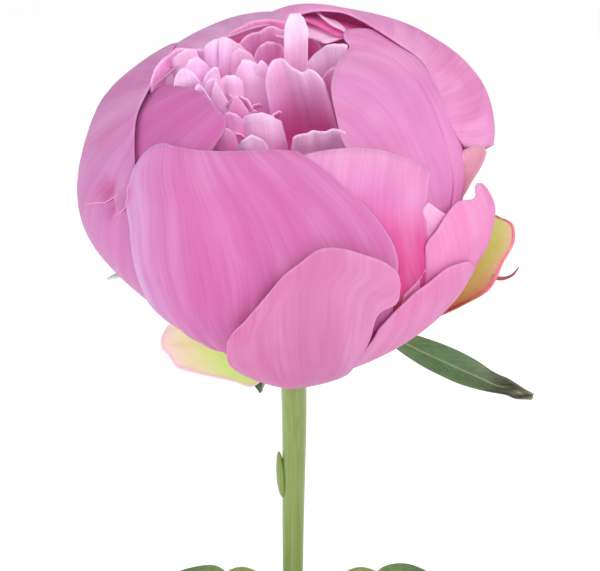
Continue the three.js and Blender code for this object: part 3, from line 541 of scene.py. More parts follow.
def petal_mesh(name, petals):
    """One mesh from petals, each a grid of points in millimetres with its colours from foot to rim,
    that of its margin, the margin's width and any colours of its left side, each with its share of
    the width. Each point stores these colours, its distance from the free edge in margin widths and
    from the middle line, and its place for the veins."""
    points, faces, tones, margins, rims, middles, places = [], [], [], [], [], [], []
    for index, (grid, colours, margin, margin_width, *side) in enumerate(petals):
        rows, columns = grid.shape[:2]
        across, upward = distances(grid, 1), distances(grid, 0)
        u = np.linspace(0, 1, columns)[None, :] * np.ones((rows, 1))
        v = np.linspace(0, 1, rows)[:, None] * np.ones((1, columns))
        first = sum(len(part) for part in points)
        rim = np.minimum(np.minimum(across, across[:, -1:] - across), upward[-1:] - upward)
        palette = np.array([srgb(colour)[:3] for colour in colours])
        stops = np.linspace(0, 1, len(palette))
        tone = np.stack([np.interp(v, stops, palette[:, k]) for k in range(3)], 2)
        for side_colour, side_share in side:
            amount = np.exp(-((u / side_share) ** 2))[..., None]
            tone = tone * (1 - amount) + np.array(srgb(side_colour)[:3]) * amount
        points.append(grid.reshape(-1, 3) * MM)
        tones.append(tone.reshape(-1, 3))
        margins.append(np.tile(srgb(margin), (rows * columns, 1)))
        rims.append(rim.reshape(-1) / margin_width)
        middles.append(np.abs(across - across[:, columns // 2][:, None]).reshape(-1))
        sideways = (u - 0.5) * across[rows // 2, -1] + VEIN_SHIFT * index
        places.append(np.stack([sideways, upward], 2).reshape(-1, 2))
        corner = np.arange(rows - 1)[:, None] * columns + np.arange(columns - 1)[None, :]
        corner = corner.reshape(-1) + first
        faces.append(np.stack([corner, corner + 1, corner + columns + 1, corner + columns], 1))
    points, faces = np.concatenate(points), np.concatenate(faces)
    mesh = bpy.data.meshes.new(name)
    mesh.from_pydata(points.tolist(), [], faces.tolist())
    store(mesh, "tone", "FLOAT_COLOR", np.insert(np.concatenate(tones), 3, 1.0, axis=1))
    store(mesh, "margin", "FLOAT_COLOR", np.concatenate(margins))
    store(mesh, "rim", "FLOAT", np.concatenate(rims))
    store(mesh, "middle", "FLOAT", np.concatenate(middles))
    places = np.concatenate(places)[faces.reshape(-1)]
    mesh.uv_layers.new(name="veins").data.foreach_set("uv", places.reshape(-1))
    return mesh


def thicken(piece, thickness):
    """Gives a sheet its thickness on both sides, with a closed edge, and makes it a plain mesh."""
    solidify = piece.modifiers.new("thickness", "SOLIDIFY")
    solidify.thickness = thickness * MM
    solidify.offset = 0
    bpy.context.view_layer.update()
    evaluated = piece.evaluated_get(bpy.context.evaluated_depsgraph_get())
    mesh = bpy.data.meshes.new_from_object(evaluated)
    piece.modifiers.clear()
    piece.data = mesh
    return piece


def stored(tree, name):
    """A value or a colour that each point of the mesh has."""
    output = "Color" if name in ("tone", "margin") else "Fac"
    return node(tree, "ShaderNodeAttribute", attribute_name=name).outputs[output]


def vein_place(tree):
    """The place on a petal or a leaf, in millimetres across and along it."""
    return node(tree, "ShaderNodeUVMap", uv_map="veins").outputs[0]


def show_tissue(tree, see_through, colour, relief, looks):
    """Ends the tree of a thin skin that a share of the light shines through."""
    front = node(tree, "ShaderNodeBsdfPrincipled", {
        "Base Color": colour, "Normal": relief, **looks,
    }).outputs[0]
    through = node(tree, "ShaderNodeBsdfTranslucent", {
        "Color": colour, "Normal": relief,
    }).outputs[0]
    show(tree, node(tree, "ShaderNodeMixShader", {0: see_through, 1: front, 2: through}).outputs[0])


def petal_skin(name, see_through, roughness, edge_share, painted_glow):
    """Petal tissue: its own colour with long soft streaks, fine veins that run up from the foot, a
    paler thin edge and a soft sheen. Light shines through it, and it glows a little in its own
    colour: a painted glow that lightens the shade in its folds."""
    material, tree = new_material(name)
    place = vein_place(tree)
    streaks = noise(tree, place, stretch=(0.24, 0.02, 1), distortion=0.3)
    veins = noise(tree, place, stretch=(1.5, 0.05, 1), distortion=0.2)
    clouds = noise(tree, place, stretch=(0.075, 0.05, 1), detail=2.0)
    tint = share_of(tree, streaks, 0.5, 0.75, 0.0, 0.2)
    colour = mixed(tree, tint, stored(tree, "tone"), srgb("#f1c6e4"))
    tint = share_of(tree, streaks, 0.5, 0.28, 0.0, 0.16)
    colour = mixed(tree, tint, colour, srgb("#dd9aca"), "MULTIPLY")
    colour = mixed(tree, share_of(tree, clouds, 0.45, 0.65, 0.0, 0.3), colour, srgb("#d964ae"))
    tint = share_of(tree, veins, 0.45, 0.7, 0.0, 0.16)
    colour = mixed(tree, tint, colour, srgb("#e08fc4"), "MULTIPLY")
    edge = maths(tree, "MULTIPLY_ADD", veins, 0.8, stored(tree, "rim"))
    tint = share_of(tree, edge, 0.5, 1.6, edge_share, 0.0)
    colour = mixed(tree, tint, colour, stored(tree, "margin"))
    show_tissue(tree, see_through, colour, raised(tree, veins, 0.2, 0.0002), {
        "Roughness": roughness, "Specular IOR Level": 0.25, "Sheen Weight": 0.08,
        "Sheen Roughness": 0.5, "Sheen Tint": srgb("#f4dcff"),
        # Painted light: emission in the petal's own colour, a painted glow that lightens the shade
        # in its folds.
        "Emission Color": colour, "Emission Strength": painted_glow,
    })
    return material


BROAD_PETALS = {
    "front_low": dict(
        left=[[0, 12], [-6, 40], [-12, 62], [-16, 78], [-15, 93]],
        top=[[-15, 93], [-13, 98], [-11, 101], [-8, 106], [-4, 112], [0, 117], [5, 120.5],
             [11, 123.5], [17, 122.5], [23, 119], [28, 115], [31, 110], [31, 106]],
        right=[[14, 12], [16, 45], [18, 79], [21, 91], [24, 99.5], [29, 100.5], [31, 106]],
        lift=2.4, belly=0.6, colours=("#cf86b6", "#d684b6", "#da85b8", "#dd8cbe"),
    ),
    "front_broad": dict(
        left=[[-30, 12], [-36, 50], [-42, 85], [-47, 105], [-51, 115], [-58, 122], [-64, 130]],
        top=[[-64, 130], [-66, 136], [-65, 140], [-62, 142.5], [-57, 144], [-44, 147.5],
             [-24, 151.5], [-2, 153.5], [10, 152.5]],
        right=[[18, 12], [26, 55], [29, 90], [30, 103], [33.5, 111], [34, 118], [31.5, 129],
               [26.5, 138], [20, 146], [10, 152.5]],
        # Painted light: the pale lilac on this petal's left side stands for light from the white
        # surroundings behind it.
        lift=-0.8, folds=((0.25, 4, 1.0), (0.16, 13, 2)), sides=(("#d6a0d2", 0.2),),
        colours=("#d58cc0", "#d277b6", "#d672b4", "#da84bf"),
    ),
    "front_inner": dict(
        left=[[5, 12], [0, 60], [-5, 100], [-5, 130], [0, 149]],
        top=[[0, 149], [15, 151.5], [30, 150.5], [44, 146.5], [50, 143], [56, 137], [60, 133],
             [61.5, 128]],
        right=[[35, 12], [45, 60], [46, 90], [45, 105], [47, 115], [54, 124], [61.5, 128]],
        # Painted shade: the deep pink over all but the pale top of this petal stands for the shade
        # under the petals in front of it.
        lift=-1.4, colours=("#dc3c86",) * 9 + ("#e060a8", "#e898d0", "#eaaad6"),
    ),
    "slip": dict(
        left=[[34, 12], [36, 60, -1.3], [38, 90, -1.6], [41, 108, -1.7], [47.5, 119, -1.5]],
        top=[[47.5, 119, -1.5], [49.5, 121.5, -1], [52, 122, -0.6]],
        right=[[58, 12], [60, 60], [60, 95], [57, 112], [54, 117.5], [52, 122]],
        # Painted shade: the deep pink over all but the pale tip of this petal stands for the shade
        # on its lower part.
        lift=-0.5, colours=("#dc3c86",) * 10 + ("#e468a8", "#f2acd8", "#f6c4e6"),
    ),
    "right_fold": dict(
        left=[[35, 12], [35, 60], [35, 100], [36, 130], [38, 149]],
        top=[[38, 149], [40.5, 153.5], [46, 157.3], [54, 160.8], [67, 164], [85, 165.5, -3.2],
             [101, 164.6, -3], [113, 162.6, -2.6], [121.5, 159.5, -2.2], [125, 157, -1.8],
             [129.5, 154.3, -1], [134, 154.5, -0.2], [138.6, 152.7, 0.6], [138.3, 150.2, 0.9],
             [137.4, 147.2, 1], [136.2, 143.5, 1]],
        right=[[60, 12], [64, 60], [64, 96], [66, 107.5], [70, 110.5], [76, 112.4], [83, 116],
               [92, 122.5, -2.8], [104, 127, -1.9], [116, 129, -1], [126, 133, 0], [132, 138, 0.7],
               [136.2, 143.5, 1]],
        lift=-3.5, bulges=((104, 142, 24, 2.2),), belly=0.6,
        colours=("#d76fb0", "#df8ac4", "#e794cd", "#e29ace"),
    ),
    "right_low": dict(
        left=[[15, 12], [22, 50, -0.8], [27, 80, -0.9], [33.6, 98.6, -0.9]],
        top=[[33.6, 98.6, -0.9], [37.1, 100.2, -0.9], [40.2, 102, -0.9], [42.6, 104.4, -0.9],
             [43.4, 107.5, -0.8], [43.6, 110, -0.6], [45, 112, -0.3], [48.5, 113.4], [52.6, 114.7],
             [57.5, 115.4], [61, 115], [64.3, 113], [67, 110.6], [68.6, 109.8, 0.8],
             [69.2, 111.2, 1.1], [70.3, 112.6, 1.2], [72.2, 112.2, 1.2], [73.9, 110.4, 1.1],
             [75.4, 107, 1], [76.6, 103, 0.9], [78, 98, 0.8]],
        right=[[60, 12], [72, 45], [80, 75], [80, 88], [78, 98, 0.8]],
        lift=0.4, colours=("#d978b0", "#e283bb", "#ec8fc7", "#ee98cc"),
    ),
    "right_base": dict(
        left=[[8, 12], [12, 45], [16, 70], [24, 92]],
        top=[[24, 92], [29, 96.5], [33.5, 99], [36, 100], [39.5, 100.3], [43.6, 100.8], [47, 100.8],
             [51.5, 98.8], [55.3, 96.2], [58, 92, 1], [61, 87, 0.9], [66, 80, 0.9]],
        right=[[60, 12], [70, 35], [72, 58, 1.1], [66, 80, 0.9]],
        lift=1.3, colours=("#d182b2", "#d982b6", "#e28bbf", "#e692c5"),
    ),
    "back_right": dict(
        left=[[135, 12], [126, 50], [113, 80, 0.5], [101, 98, 1.5], [93, 107, -0.5],
              [88, 114, -1.8], [86, 117, -2.2]],
        top=[[85.5, 117, -2], [85.5, 123, -1.4], [91, 129, -0.8], [102.5, 132, -0.4],
             [115.5, 133.5, 0.6], [121.5, 139.5, 1.4], [127.5, 142, 1.8], [134.5, 143, 2],
             [142.5, 143, 2.2], [149.5, 143.3, 2.4], [155, 145.5, 2.3], [160.5, 146.6, 1.9],
             [165, 146.4, 1.2], [171, 146, 0], [178, 146, -1.6], [184, 148, -2.8]],
        right=[[195, 12], [200, 50], [202, 90, -1.5], [196, 125, -2.8], [184, 148, -2.8]],
        lift=0, bulges=((118, 108, 22, 5.4), (138, 117, 15, 1.4)),
        colours=("#d76fb0", "#e07fbe", "#e893cd", "#eda6d7"),
    ),
    "right_side": dict(
        left=[[40, 12], [50, 60], [60, 95], [66, 107, -3.8]],
        top=[[66, 107, -3.8], [72, 113, -3.7], [78, 116.8, -3.2], [83.5, 117.4, -2],
             [85.6, 116, -0.4], [86.6, 114.6, 1], [86.3, 113.3, 1.8]],
        right=[[66, 12], [68, 60], [67, 95, -3.6], [69.4, 108.7, -3.4], [73.3, 109.2, -2.6],
               [78.3, 109.2, -1.6], [81.2, 109.3, -0.6], [83.2, 110.3, 0.6], [85.1, 111.6, 1.8],
               [86.3, 113.3, 1.8]],
        lift=-4.6, sides=(("#f4a8d6", 0.85),),
        colours=("#c9609c",) * 7 + ("#d07c98", "#cc7f86", "#e0acb0"),
    ),
    "left_outer": dict(
        left=[[-140, 12], [-148, 50], [-152, 90], [-148, 112, -0.9], [-140, 129, -1.1]],
        top=[[-140, 129, -1.1], [-131, 136.5, -0.8], [-121, 140.5, -0.9], [-110, 140.5, -1.4],
             [-101, 138.5], [-90, 136], [-75, 133], [-66, 130], [-61, 126], [-62, 121]],
        right=[[-30, 12], [-36, 50], [-41, 85], [-44, 100], [-48, 110], [-52, 117], [-62, 121]],
        lift=-2.1, bulges=((-88, 88, 28, 5.6), (-120, 110, 18, 3)),
        pits=((-71, 118, 4.5, 1.9), (-64.4, 115, 2.6, 1.4), (-61.5, 121.8, 2.6, 1.4)),
        # Painted light: this petal is paler towards its foot, which stands for light from the white
        # surroundings on the lower left.
        colours=("#f0cce8", "#e2b2da", "#cf88be", "#d392c5"),
    ),
    "left_fold": dict(
        left=[[-100, 12], [-104, 60], [-108, 100], [-112, 125], [-110, 136]],
        top=[[-110, 136], [-108, 140], [-105.5, 145], [-102.5, 149.5], [-97, 154], [-87, 158.5],
             [-76, 160], [-64, 160.5], [-52, 160.4], [-45, 157.8], [-42.5, 154], [-45, 150]],
        right=[[-60, 12], [-58, 60], [-50, 100], [-44, 125], [-42, 140], [-45, 150]],
        lift=-3.6, belly=0.6, colours=("#c0569c", "#c762a6", "#cc6aae", "#cf76b5"),
    ),
    # Painted shade: a deep pink sheet under the raised rim of the back right petal, which stands
    # for the shaded inner face of that petal.
    "back_deep": dict(
        left=[[112, 12], [113, 60], [114, 100], [116, 125, -0.6], [119, 137, 0.2]],
        top=[[119, 137, 0.2], [126, 141, 0.6], [132, 146, 0.6], [135, 152, 0], [141, 154],
             [150, 153], [160, 150], [170, 146]],
        right=[[175, 12], [175, 60], [174, 100], [172, 130], [170, 146]],
        lift=-0.6, colours=("#e44c98", "#e8549e", "#ea60a8", "#ec78b8"),
    ),
    "back_inner": dict(
        left=[[168, 12], [168, 60], [167, 100], [166, 125, -1], [165, 138, 0.6]],
        top=[[165, 138, 0.6], [162, 143, 0.8], [157.5, 147.6, 0.7], [148, 151.3, 0.5],
             [141, 151.3, 0.3], [137, 150.8, -0.4], [139, 152.6, -1.1], [140.6, 155.3, -1.6],
             [143, 158.3, -1.8], [151, 157.8, -2], [157.5, 156.9, -2.2], [164.5, 157.3],
             [173, 158.3], [182, 156]],
        right=[[205, 12], [204, 60], [200, 100], [192, 135], [182, 156]],
        lift=-2.6, colours=("#e05aa4", "#e88cc4", "#f0bce0", "#f3cce8"),
    ),
    "back_left": dict(
        left=[[-110, 12], [-112, 60], [-112, 100, -2.8], [-108, 125, -2.8], [-106, 136, -2.8]],
        top=[[-106, 138, -2.8], [-116, 144, -2.4], [-125, 147, -2], [-133, 148.5, -1.8],
             [-142, 149.5], [-154, 150.5], [-163, 150.5, -1.4], [-175, 150.5, -1],
             [-187, 147, -0.8], [-198, 139, -0.6]],
        right=[[-165, 12], [-182, 60], [-194, 100], [-200, 125, -0.6], [-198, 139, -0.6]],
        lift=-1.7, belly=1.2, bulges=((-166, 128, 18, 1.6),),
        colours=("#c77ab6", "#cd84bc", "#d28cc2", "#dba5d0"),
    ),
    "low_left": dict(
        left=[[-165, 12], [-170, 40], [-166, 62], [-152, 82]],
        top=[[-152, 82], [-138, 90], [-124, 86], [-112, 72]],
        right=[[-120, 12], [-110, 40], [-108, 58], [-112, 72]],
        lift=2.8, colours=("#d29cc6", "#d291c2", "#d68fc2", "#dca0cc"),
    ),
    "low_back": dict(
        left=[[122, 12], [116, 40], [114, 65], [124, 84]],
        top=[[124, 84], [136, 90], [152, 91], [168, 84]],
        right=[[165, 12], [175, 40], [177, 65], [168, 84]],
        lift=2.6, rim=1.9, rim_power=1, colours=("#d29cc6", "#d68bbe", "#dc8cc4", "#e2a2d0"),
    ),
}

# The last number is the skin's painted glow, which lightens the shade between the petals.
broad_skin = petal_skin("broad_petal_skin", 0.3, 0.55, 0.22, 0.02)
BACK_LAYERS = ("back_deep", "back_inner")
broad_grids = [
    (broad_petal(petal, seed=seed), petal["colours"], PETAL_MARGIN, BROAD_MARGIN,
     *petal.get("sides", ()))
    for seed, (name, petal) in enumerate(BROAD_PETALS.items()) if name not in BACK_LAYERS
]


def petal_piece(name, petals, skin, thickness):
    """A piece made of petals, with its skin and thickness."""
    return thicken(new_object(name, petal_mesh(name, petals), skin), thickness)


broad_petals = petal_piece("broad_petals", broad_grids, broad_skin, PETAL_THICKNESS)


def paint_shade(piece, centre, reach, colour):
    """Paints shade into the tone of a piece round the point of its face that is nearest to a place.
    """
    centre = np.array(piece.closest_point_on_mesh(Vector(centre * MM))[1]) / MM
    points = np.empty(3 * len(piece.data.vertices))
    piece.data.vertices.foreach_get("co", points)
    distance = np.linalg.norm(points.reshape(-1, 3) / MM - centre, axis=1)
    amount = np.exp(-((distance / reach) ** 2))[:, None]
    tones = np.empty(4 * len(distance))
    piece.data.attributes["tone"].data.foreach_get("color", tones)
    tones = tones.reshape(-1, 4) * (1 - amount) + np.array(srgb(colour)) * amount
    piece.data.attributes["tone"].data.foreach_set("color", tones.reshape(-1))


# Painted shade: deep pink patches in the puckers of the left outer petal, where shade falls:
# azimuth, polar angle and reach.
PUCKER_SHADE_SPOTS = [[-71, 118, 3], [-64.4, 115, 1.7], [-61.5, 121.8, 1.7]]
PUCKER_SHADE_PINK = "#d05ca6"
for azimuth, polar, reach in PUCKER_SHADE_SPOTS:
    centre = in_place(on_egg(egg_direction([[azimuth, polar]])))[0]
    paint_shade(broad_petals, centre, reach, PUCKER_SHADE_PINK)

LAID_STEPS = 40
LAID_SIDES = 10


def laid_line(name, piece, course, radii, skin):
    """A thin raised line on the face of a piece along a course, thickest at its middle."""
    points = np.array([
        piece.closest_point_on_mesh(Vector(point * MM))[1] / MM
        for point in smooth_line(course, LAID_STEPS)
    ])
    thickness = radii[0] + (radii[1] - radii[0]) * np.sin(np.linspace(0, np.pi, len(points)))
    return grown(line_object(name, points, thickness), shoot_tree, {
        "Sides": LAID_SIDES, "Skin": skin,
    })


def plain_skin(name, colour, roughness):
    """A skin of one colour."""
    material, tree = new_material(name)
    show(tree, node(tree, "ShaderNodeBsdfPrincipled", {
        "Base Color": colour, "Roughness": roughness,
    }).outputs[0])
    return material


def grainy_skin(name, scale, dark, pale, roughness):
    """A skin with a fine grain of two colours."""
    material, tree = new_material(name)
    grain = noise(tree, over_object(tree), scale=scale, dimensions="3D")
    show(tree, node(tree, "ShaderNodeBsdfPrincipled", {
        "Base Color": mixed(tree, grain, dark, pale), "Roughness": roughness,
    }).outputs[0])
    return material



# Raised creases between the puckers of the left outer petal, laid on its face.
CREASES = [
    [[-66.7, 122.1], [-66, 120], [-64.6, 118.8], [-62.2, 118.3], [-60, 118]],
    [[-63, 126.4], [-59.8, 125.1], [-58.3, 123.1], [-58.3, 120.4], [-59.6, 117.5], [-61.2, 113.9]],
    [[-76.5, 104], [-71.1, 111], [-68.4, 115.2], [-65.5, 119.3], [-64.4, 123.4], [-63.1, 125.9]],
]
CREASE_RADII = (0.05, 0.16)
CREASE_COURSE_OUT = 1.04
crease_skin = plain_skin("crease_skin", srgb("#cf93b4"), 0.6)
creases = []
for index, course in enumerate(CREASES):
    rough = in_place(on_egg(egg_direction(course), CREASE_COURSE_OUT))
    creases.append(
        laid_line("petal_crease_%d" % index, broad_petals, rough, CREASE_RADII, crease_skin))
for piece in (broad_petals, *creases):
    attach(piece, "root")
    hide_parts("bloom")

# The heart: smaller petals that stand in the middle of the bloom, curled, notched and crowded, on
# the closed core that they all grow from. Their places are in millimetres in the bloom's frame.
ROUND_TIP = (0.82, 0.93, 0.98, 1, 0.98, 0.93, 0.82)
BLUNT_TIP = (0.9, 0.97, 0.995, 1, 0.99, 0.96, 0.88)
POINTED_TIP = (0.76, 0.86, 0.95, 1, 0.95, 0.86, 0.76)
TWO_LOBED_TIP = (0.86, 0.965, 1, 0.985, 0.94, 0.895, 0.88, 0.89, 0.885, 0.82)
RISING_TIP = (0.7, 0.8, 0.88, 0.93, 0.97, 1, 0.98)
TO_FRONT = (0, -1, 0)
FRONT_AND_UP = (0, -1, 0.6)
HEART_STEPS = (32, 34)
WIDTH_UPWARDS = (0.6, 0.92, 1, 0.9)
HEART_MARGIN = 0.8
SWELL, SWELL_SIZE = 0.35, 12
CRUMPLE, CRUMPLE_SIZE = 0.3, 4.5
SWELL_SEED, CRUMPLE_SEED, EDGE_SEED = 100, 200, 500
OUTLINE_STEPS, WIDTH_STEPS = 80, 60


def unit(vectors):
    """The vectors at length one."""
    return vectors / np.linalg.norm(vectors, axis=-1, keepdims=True)


def smooth_value(values, share, steps):
    """The value at each share, from 0 to 1, of a smooth line through evenly spaced values."""
    line = smooth_line(list(enumerate(values)), steps)
    return np.interp(share * line[-1, 0], line[:, 0], line[:, 1])


def bent_spine(petal, t):
    """Points and directions at shares t of the way from the foot to the tip, drawn to the bow."""
    foot, bow, tip = (np.array(petal[key], float) for key in ("foot", "bow", "tip"))
    spine = (1 - t) ** 2 * foot + 2 * t * (1 - t) * bow + t ** 2 * tip
    return spine, unit(2 * (1 - t) * (bow - foot) + 2 * t * (tip - bow))


def standing_petal(petal, steps=HEART_STEPS, seed=0):
    """A petal that stands along a bent spine from foot to tip. It is cupped, rolled at its sides,
    waved and creased, and its free edge follows an outline of its own."""
    columns, rows = steps
    facing = unit(np.array(petal.get("faces", FRONT_AND_UP), float))
    random = np.random.default_rng(EDGE_SEED + seed)
    u = np.linspace(-1, 1, columns + 1)[None, :]
    up = np.linspace(0, 1, rows + 1)[:, None]
    edge = smooth_value(petal.get("outline", ROUND_TIP), (u + 1) / 2, OUTLINE_STEPS)
    first, second = random.uniform(0, 6), random.uniform(0, 6)
    edge = edge * (1 + 0.005 * np.sin(8 * u + first) + 0.003 * np.sin(17 * u + second))
    reach = up * edge
    spine, tangent = bent_spine(petal, reach[..., None])
    across = unit(np.cross(tangent, np.broadcast_to(facing, tangent.shape)))
    towards = np.cross(across, tangent)
    width = petal["half"] * smooth_value(petal.get("widths", WIDTH_UPWARDS), up, WIDTH_STEPS)
    depth = petal["cup"] * u * u + petal.get("roll", 0) * u ** 6 * reach ** 2
    depth = depth + petal.get("wave", 0) * np.sin(3 * np.pi * u) * reach ** 3
    depth = depth + petal.get("curl", 0) * reach ** 5
    for side, height, size, deep in petal.get("creases", ()):
        away = -((u - side) / size) ** 2 - ((reach - height) / (2 * size)) ** 2
        depth = depth - deep * np.exp(away)
    grid = spine + across * (u * width)[..., None] + towards * depth[..., None]
    swell = petal.get("swell", SWELL) * unevenness(grid, SWELL_SEED + seed, SWELL_SIZE) * reach
    crumple = petal.get("crumple", CRUMPLE) * unevenness(grid, CRUMPLE_SEED + seed, CRUMPLE_SIZE)
    swell = swell + crumple * reach ** 2
    return grid + towards * swell[..., None]


DEEP = ("#e8388c", "#ea4c9c", "#ec6cb0", "#f0a0d0")
ROSE = ("#ec48a4", "#ee6cba", "#ee94d2", "#f3c4ec")
PALE = ("#ee4eac", "#ef7cc6", "#f1a8e0", "#f5cef0", "#f9e2f9")
HEART_PETALS = {
    "trough": dict(
        foot=(8, 1, -2), bow=(6.4, 3, 20), tip=(2.4, 6.8, 38.2), half=7.4, cup=4.2, roll=-1.4,
        outline=TWO_LOBED_TIP, faces=TO_FRONT, widths=(0.75, 0.95, 1, 0.92),
        creases=((0.25, 0.68, 0.12, -1), (-0.3, 0.8, 0.12, 0.6)),
        colours=("#f0489c", "#f04c9e", "#ea56a6", "#e07cbc", "#eab2e0", "#f6dcf6"),
    ),
    "tongue": dict(
        foot=(3, 8, 2), bow=(3.4, 7, 30), tip=(4.4, 19, 40.6), half=2.7, cup=0.9, outline=BLUNT_TIP,
        widths=(0.5, 0.75, 0.95, 1, 1),
        colours=("#cc5a9e", "#e6a2d0", "#f0c4e8", "#f8e0f8", "#fcf0fc"),
    ),
    "dome": dict(
        foot=(-11, 13, 0), bow=(-14, 9.5, 26), tip=(-12.8, 16.6, 36), half=6, cup=-3.6,
        creases=((-0.25, 0.84, 0.1, 1.4),), colours=PALE,
    ),
    "dome_side": dict(
        foot=(-8, 12, 0), bow=(-9.2, 9.5, 25), tip=(-9.2, 15, 33.8), half=3.8, cup=-2, colours=PALE,
    ),
    "tall": dict(
        foot=(-1, -2, 0), bow=(-3, 0.5, 24), tip=(-8.8, 8.8, 35), half=4.6, cup=-2.4,
        outline=(0.8, 0.92, 0.985, 1, 0.96, 0.86), colours=PALE,
    ),
    "front": dict(
        foot=(-2, -6, 0), bow=(-5, -11, 23), tip=(-5.4, -5.4, 31.4), half=5.8, cup=-3.2,
        creases=((-0.55, 0.85, 0.12, 0.7),), colours=PALE,
    ),
    "front_left": dict(
        foot=(-10, -8, 0), bow=(-13.4, -13, 22), tip=(-14, -9.6, 31.6), half=3.6, cup=-1.6,
        colours=ROSE,
    ),
    "front_small": dict(
        foot=(-5, -10, 0), bow=(-6.4, -17, 23), tip=(-6.6, -14, 32), half=3.8, cup=-1.2,
        colours=PALE,
    ),
    "knob": dict(
        foot=(-9, 2, 0), bow=(-11, 1, 26), tip=(-11.4, 5, 34.4), half=2.7, cup=-2.2, curl=0.8,
        outline=BLUNT_TIP, colours=PALE,
    ),
    "ruffle": dict(
        foot=(8, -9, 0), bow=(8.4, -15, 24), tip=(9, -13.4, 33.4), half=6.6, cup=0.6, wave=0.5,
        outline=(0.86, 0.89, 0.915, 0.93, 0.925, 0.95, 0.975, 0.985, 1, 0.98), colours=PALE,
    ),
    "left_broad": dict(
        foot=(-16, 7, 0), bow=(-24.6, 10, 25), tip=(-25.6, 15, 33.4), half=6.6, cup=-1.6,
        creases=((-0.1, 0.86, 0.12, 1.1),), outline=RISING_TIP, colours=PALE,
    ),
    "left_high": dict(
        foot=(-13, 7, 0), bow=(-19, 7, 25), tip=(-19.6, 10.4, 35.2), half=3.6, cup=-1, crumple=0.6,
        colours=PALE,
    ),
    "left_middle": dict(
        foot=(-12, 6, 0), bow=(-16.4, 4, 25), tip=(-17, 6.6, 35), half=3, cup=-1.2, crumple=0.5,
        outline=RISING_TIP, colours=PALE,
    ),
    "left_edge": dict(
        foot=(-13, 5, 0), bow=(-21, 4.6, 25), tip=(-22.4, 8, 34), half=3.6, cup=0.8, crumple=0.5,
        colours=PALE,
    ),
    "left_curl": dict(
        foot=(-11, 3, 0), bow=(-14.8, 1.2, 26), tip=(-15.6, 4, 34.8), half=2.6, cup=-1.4, curl=1,
        colours=PALE,
    ),
    "left_small": dict(
        foot=(-12, 0, 0), bow=(-17.8, -1, 25), tip=(-18.8, 2.4, 34), half=2.8, cup=0.9,
        outline=POINTED_TIP, colours=PALE,
    ),
    "left_narrow": dict(
        foot=(-10, -1, 0), bow=(-13.8, -3, 24), tip=(-14.8, 2.6, 34.4), half=2.4, cup=-0.9,
        outline=POINTED_TIP, colours=PALE,
    ),
    "middle_small": dict(
        foot=(-7, -4, 0), bow=(-10, -5.6, 24), tip=(-10.8, -1.8, 33.6), half=3.2, cup=-1.2,
        outline=(0.76, 0.84, 0.92, 1, 0.93, 0.8), colours=ROSE,
    ),
    "middle_low": dict(
        foot=(-7, -6, 0), bow=(-10.8, -9, 23), tip=(-12, -6, 32.4), half=3.6, cup=-1, colours=ROSE,
    ),
    "back_wall": dict(
        foot=(-2, 16, 0), bow=(-3, 24, 22), tip=(-3, 24.5, 34.6), half=14, cup=5, colours=DEEP,
    ),
    "back_left_wall": dict(
        foot=(-16, 10, 0), bow=(-24, 15, 22), tip=(-24, 15.5, 33.6), half=10, cup=3,
        faces=(0.5, -1, 0.4), colours=ROSE,
    ),
    "back_broad": dict(
        foot=(-4, 14, 0), bow=(-5.5, 20, 25), tip=(-5.6, 21, 35.4), half=8, cup=1.4, wave=0.5,
        outline=RISING_TIP, colours=ROSE,
    ),
    "back_narrow": dict(
        foot=(0, 12, 0), bow=(-2, 16, 25), tip=(-2.2, 17, 34), half=4.6, cup=1.2, wave=0.3,
        colours=ROSE,
    ),
    "right_edge": dict(
        foot=(9, 7, 0), bow=(10, 13, 25), tip=(10.2, 14.6, 35.2), half=6.4, cup=1.4,
        outline=(0.66, 0.76, 0.86, 0.93, 0.975, 1, 0.99), colours=PALE,
    ),
    "right_wall": dict(
        foot=(11, 3, 0), bow=(14, 4, 22), tip=(14.4, 6, 35), half=5, cup=2, faces=(-0.6, -1, 0.3),
        colours=ROSE,
    ),
    "sharp": dict(
        foot=(-2, 6, 0), bow=(-3, 7.5, 27), tip=(-4.2, 7.8, 35.8), half=2.6, cup=0.5,
        outline=POINTED_TIP, colours=PALE,
    ),
}
ARC = {"count": 5, "start": 5, "step": 33, "radius": 24, "height": 27, "sway": 1.5}


def arc_petal(index):
    """One of the shorter petals between the standing ones and those that close round."""
    angle = math.radians(ARC["start"] + ARC["step"] * index)
    x, y = math.sin(angle), -math.cos(angle)
    height = ARC["height"] + ARC["sway"] * math.sin(5 * index)

    def place(share, z):
        return (ARC["radius"] * share * x, ARC["radius"] * share * y, z)

    return dict(foot=place(0.5, -6), bow=place(1.15, height / 2), tip=place(0.8, height),
                half=7.6, cup=1.8, faces=(-x, -y, 0.25), colours=DEEP)


heart_list = [*HEART_PETALS.values(), *(arc_petal(index) for index in range(ARC["count"]))]
heart_grids = [
    (in_place(standing_petal(petal, seed=seed)), petal["colours"], PETAL_MARGIN, HEART_MARGIN)
    for seed, petal in enumerate(heart_list)
]
for seed, name in enumerate(BACK_LAYERS):
    layer = BROAD_PETALS[name]
    tones = layer["colours"]
    heart_grids.append((broad_petal(layer, seed=seed), tones, tones[-1], HEART_MARGIN))
# The heart's skin has the strongest painted glow, to lighten the shade deep between its petals.
heart_skin = petal_skin("heart_petal_skin", 0.35, 0.5, 0.35, 0.11)
heart_petals = petal_piece("heart_petals", heart_grids, heart_skin, PETAL_THICKNESS)
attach(heart_petals, "root")
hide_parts("bloom")

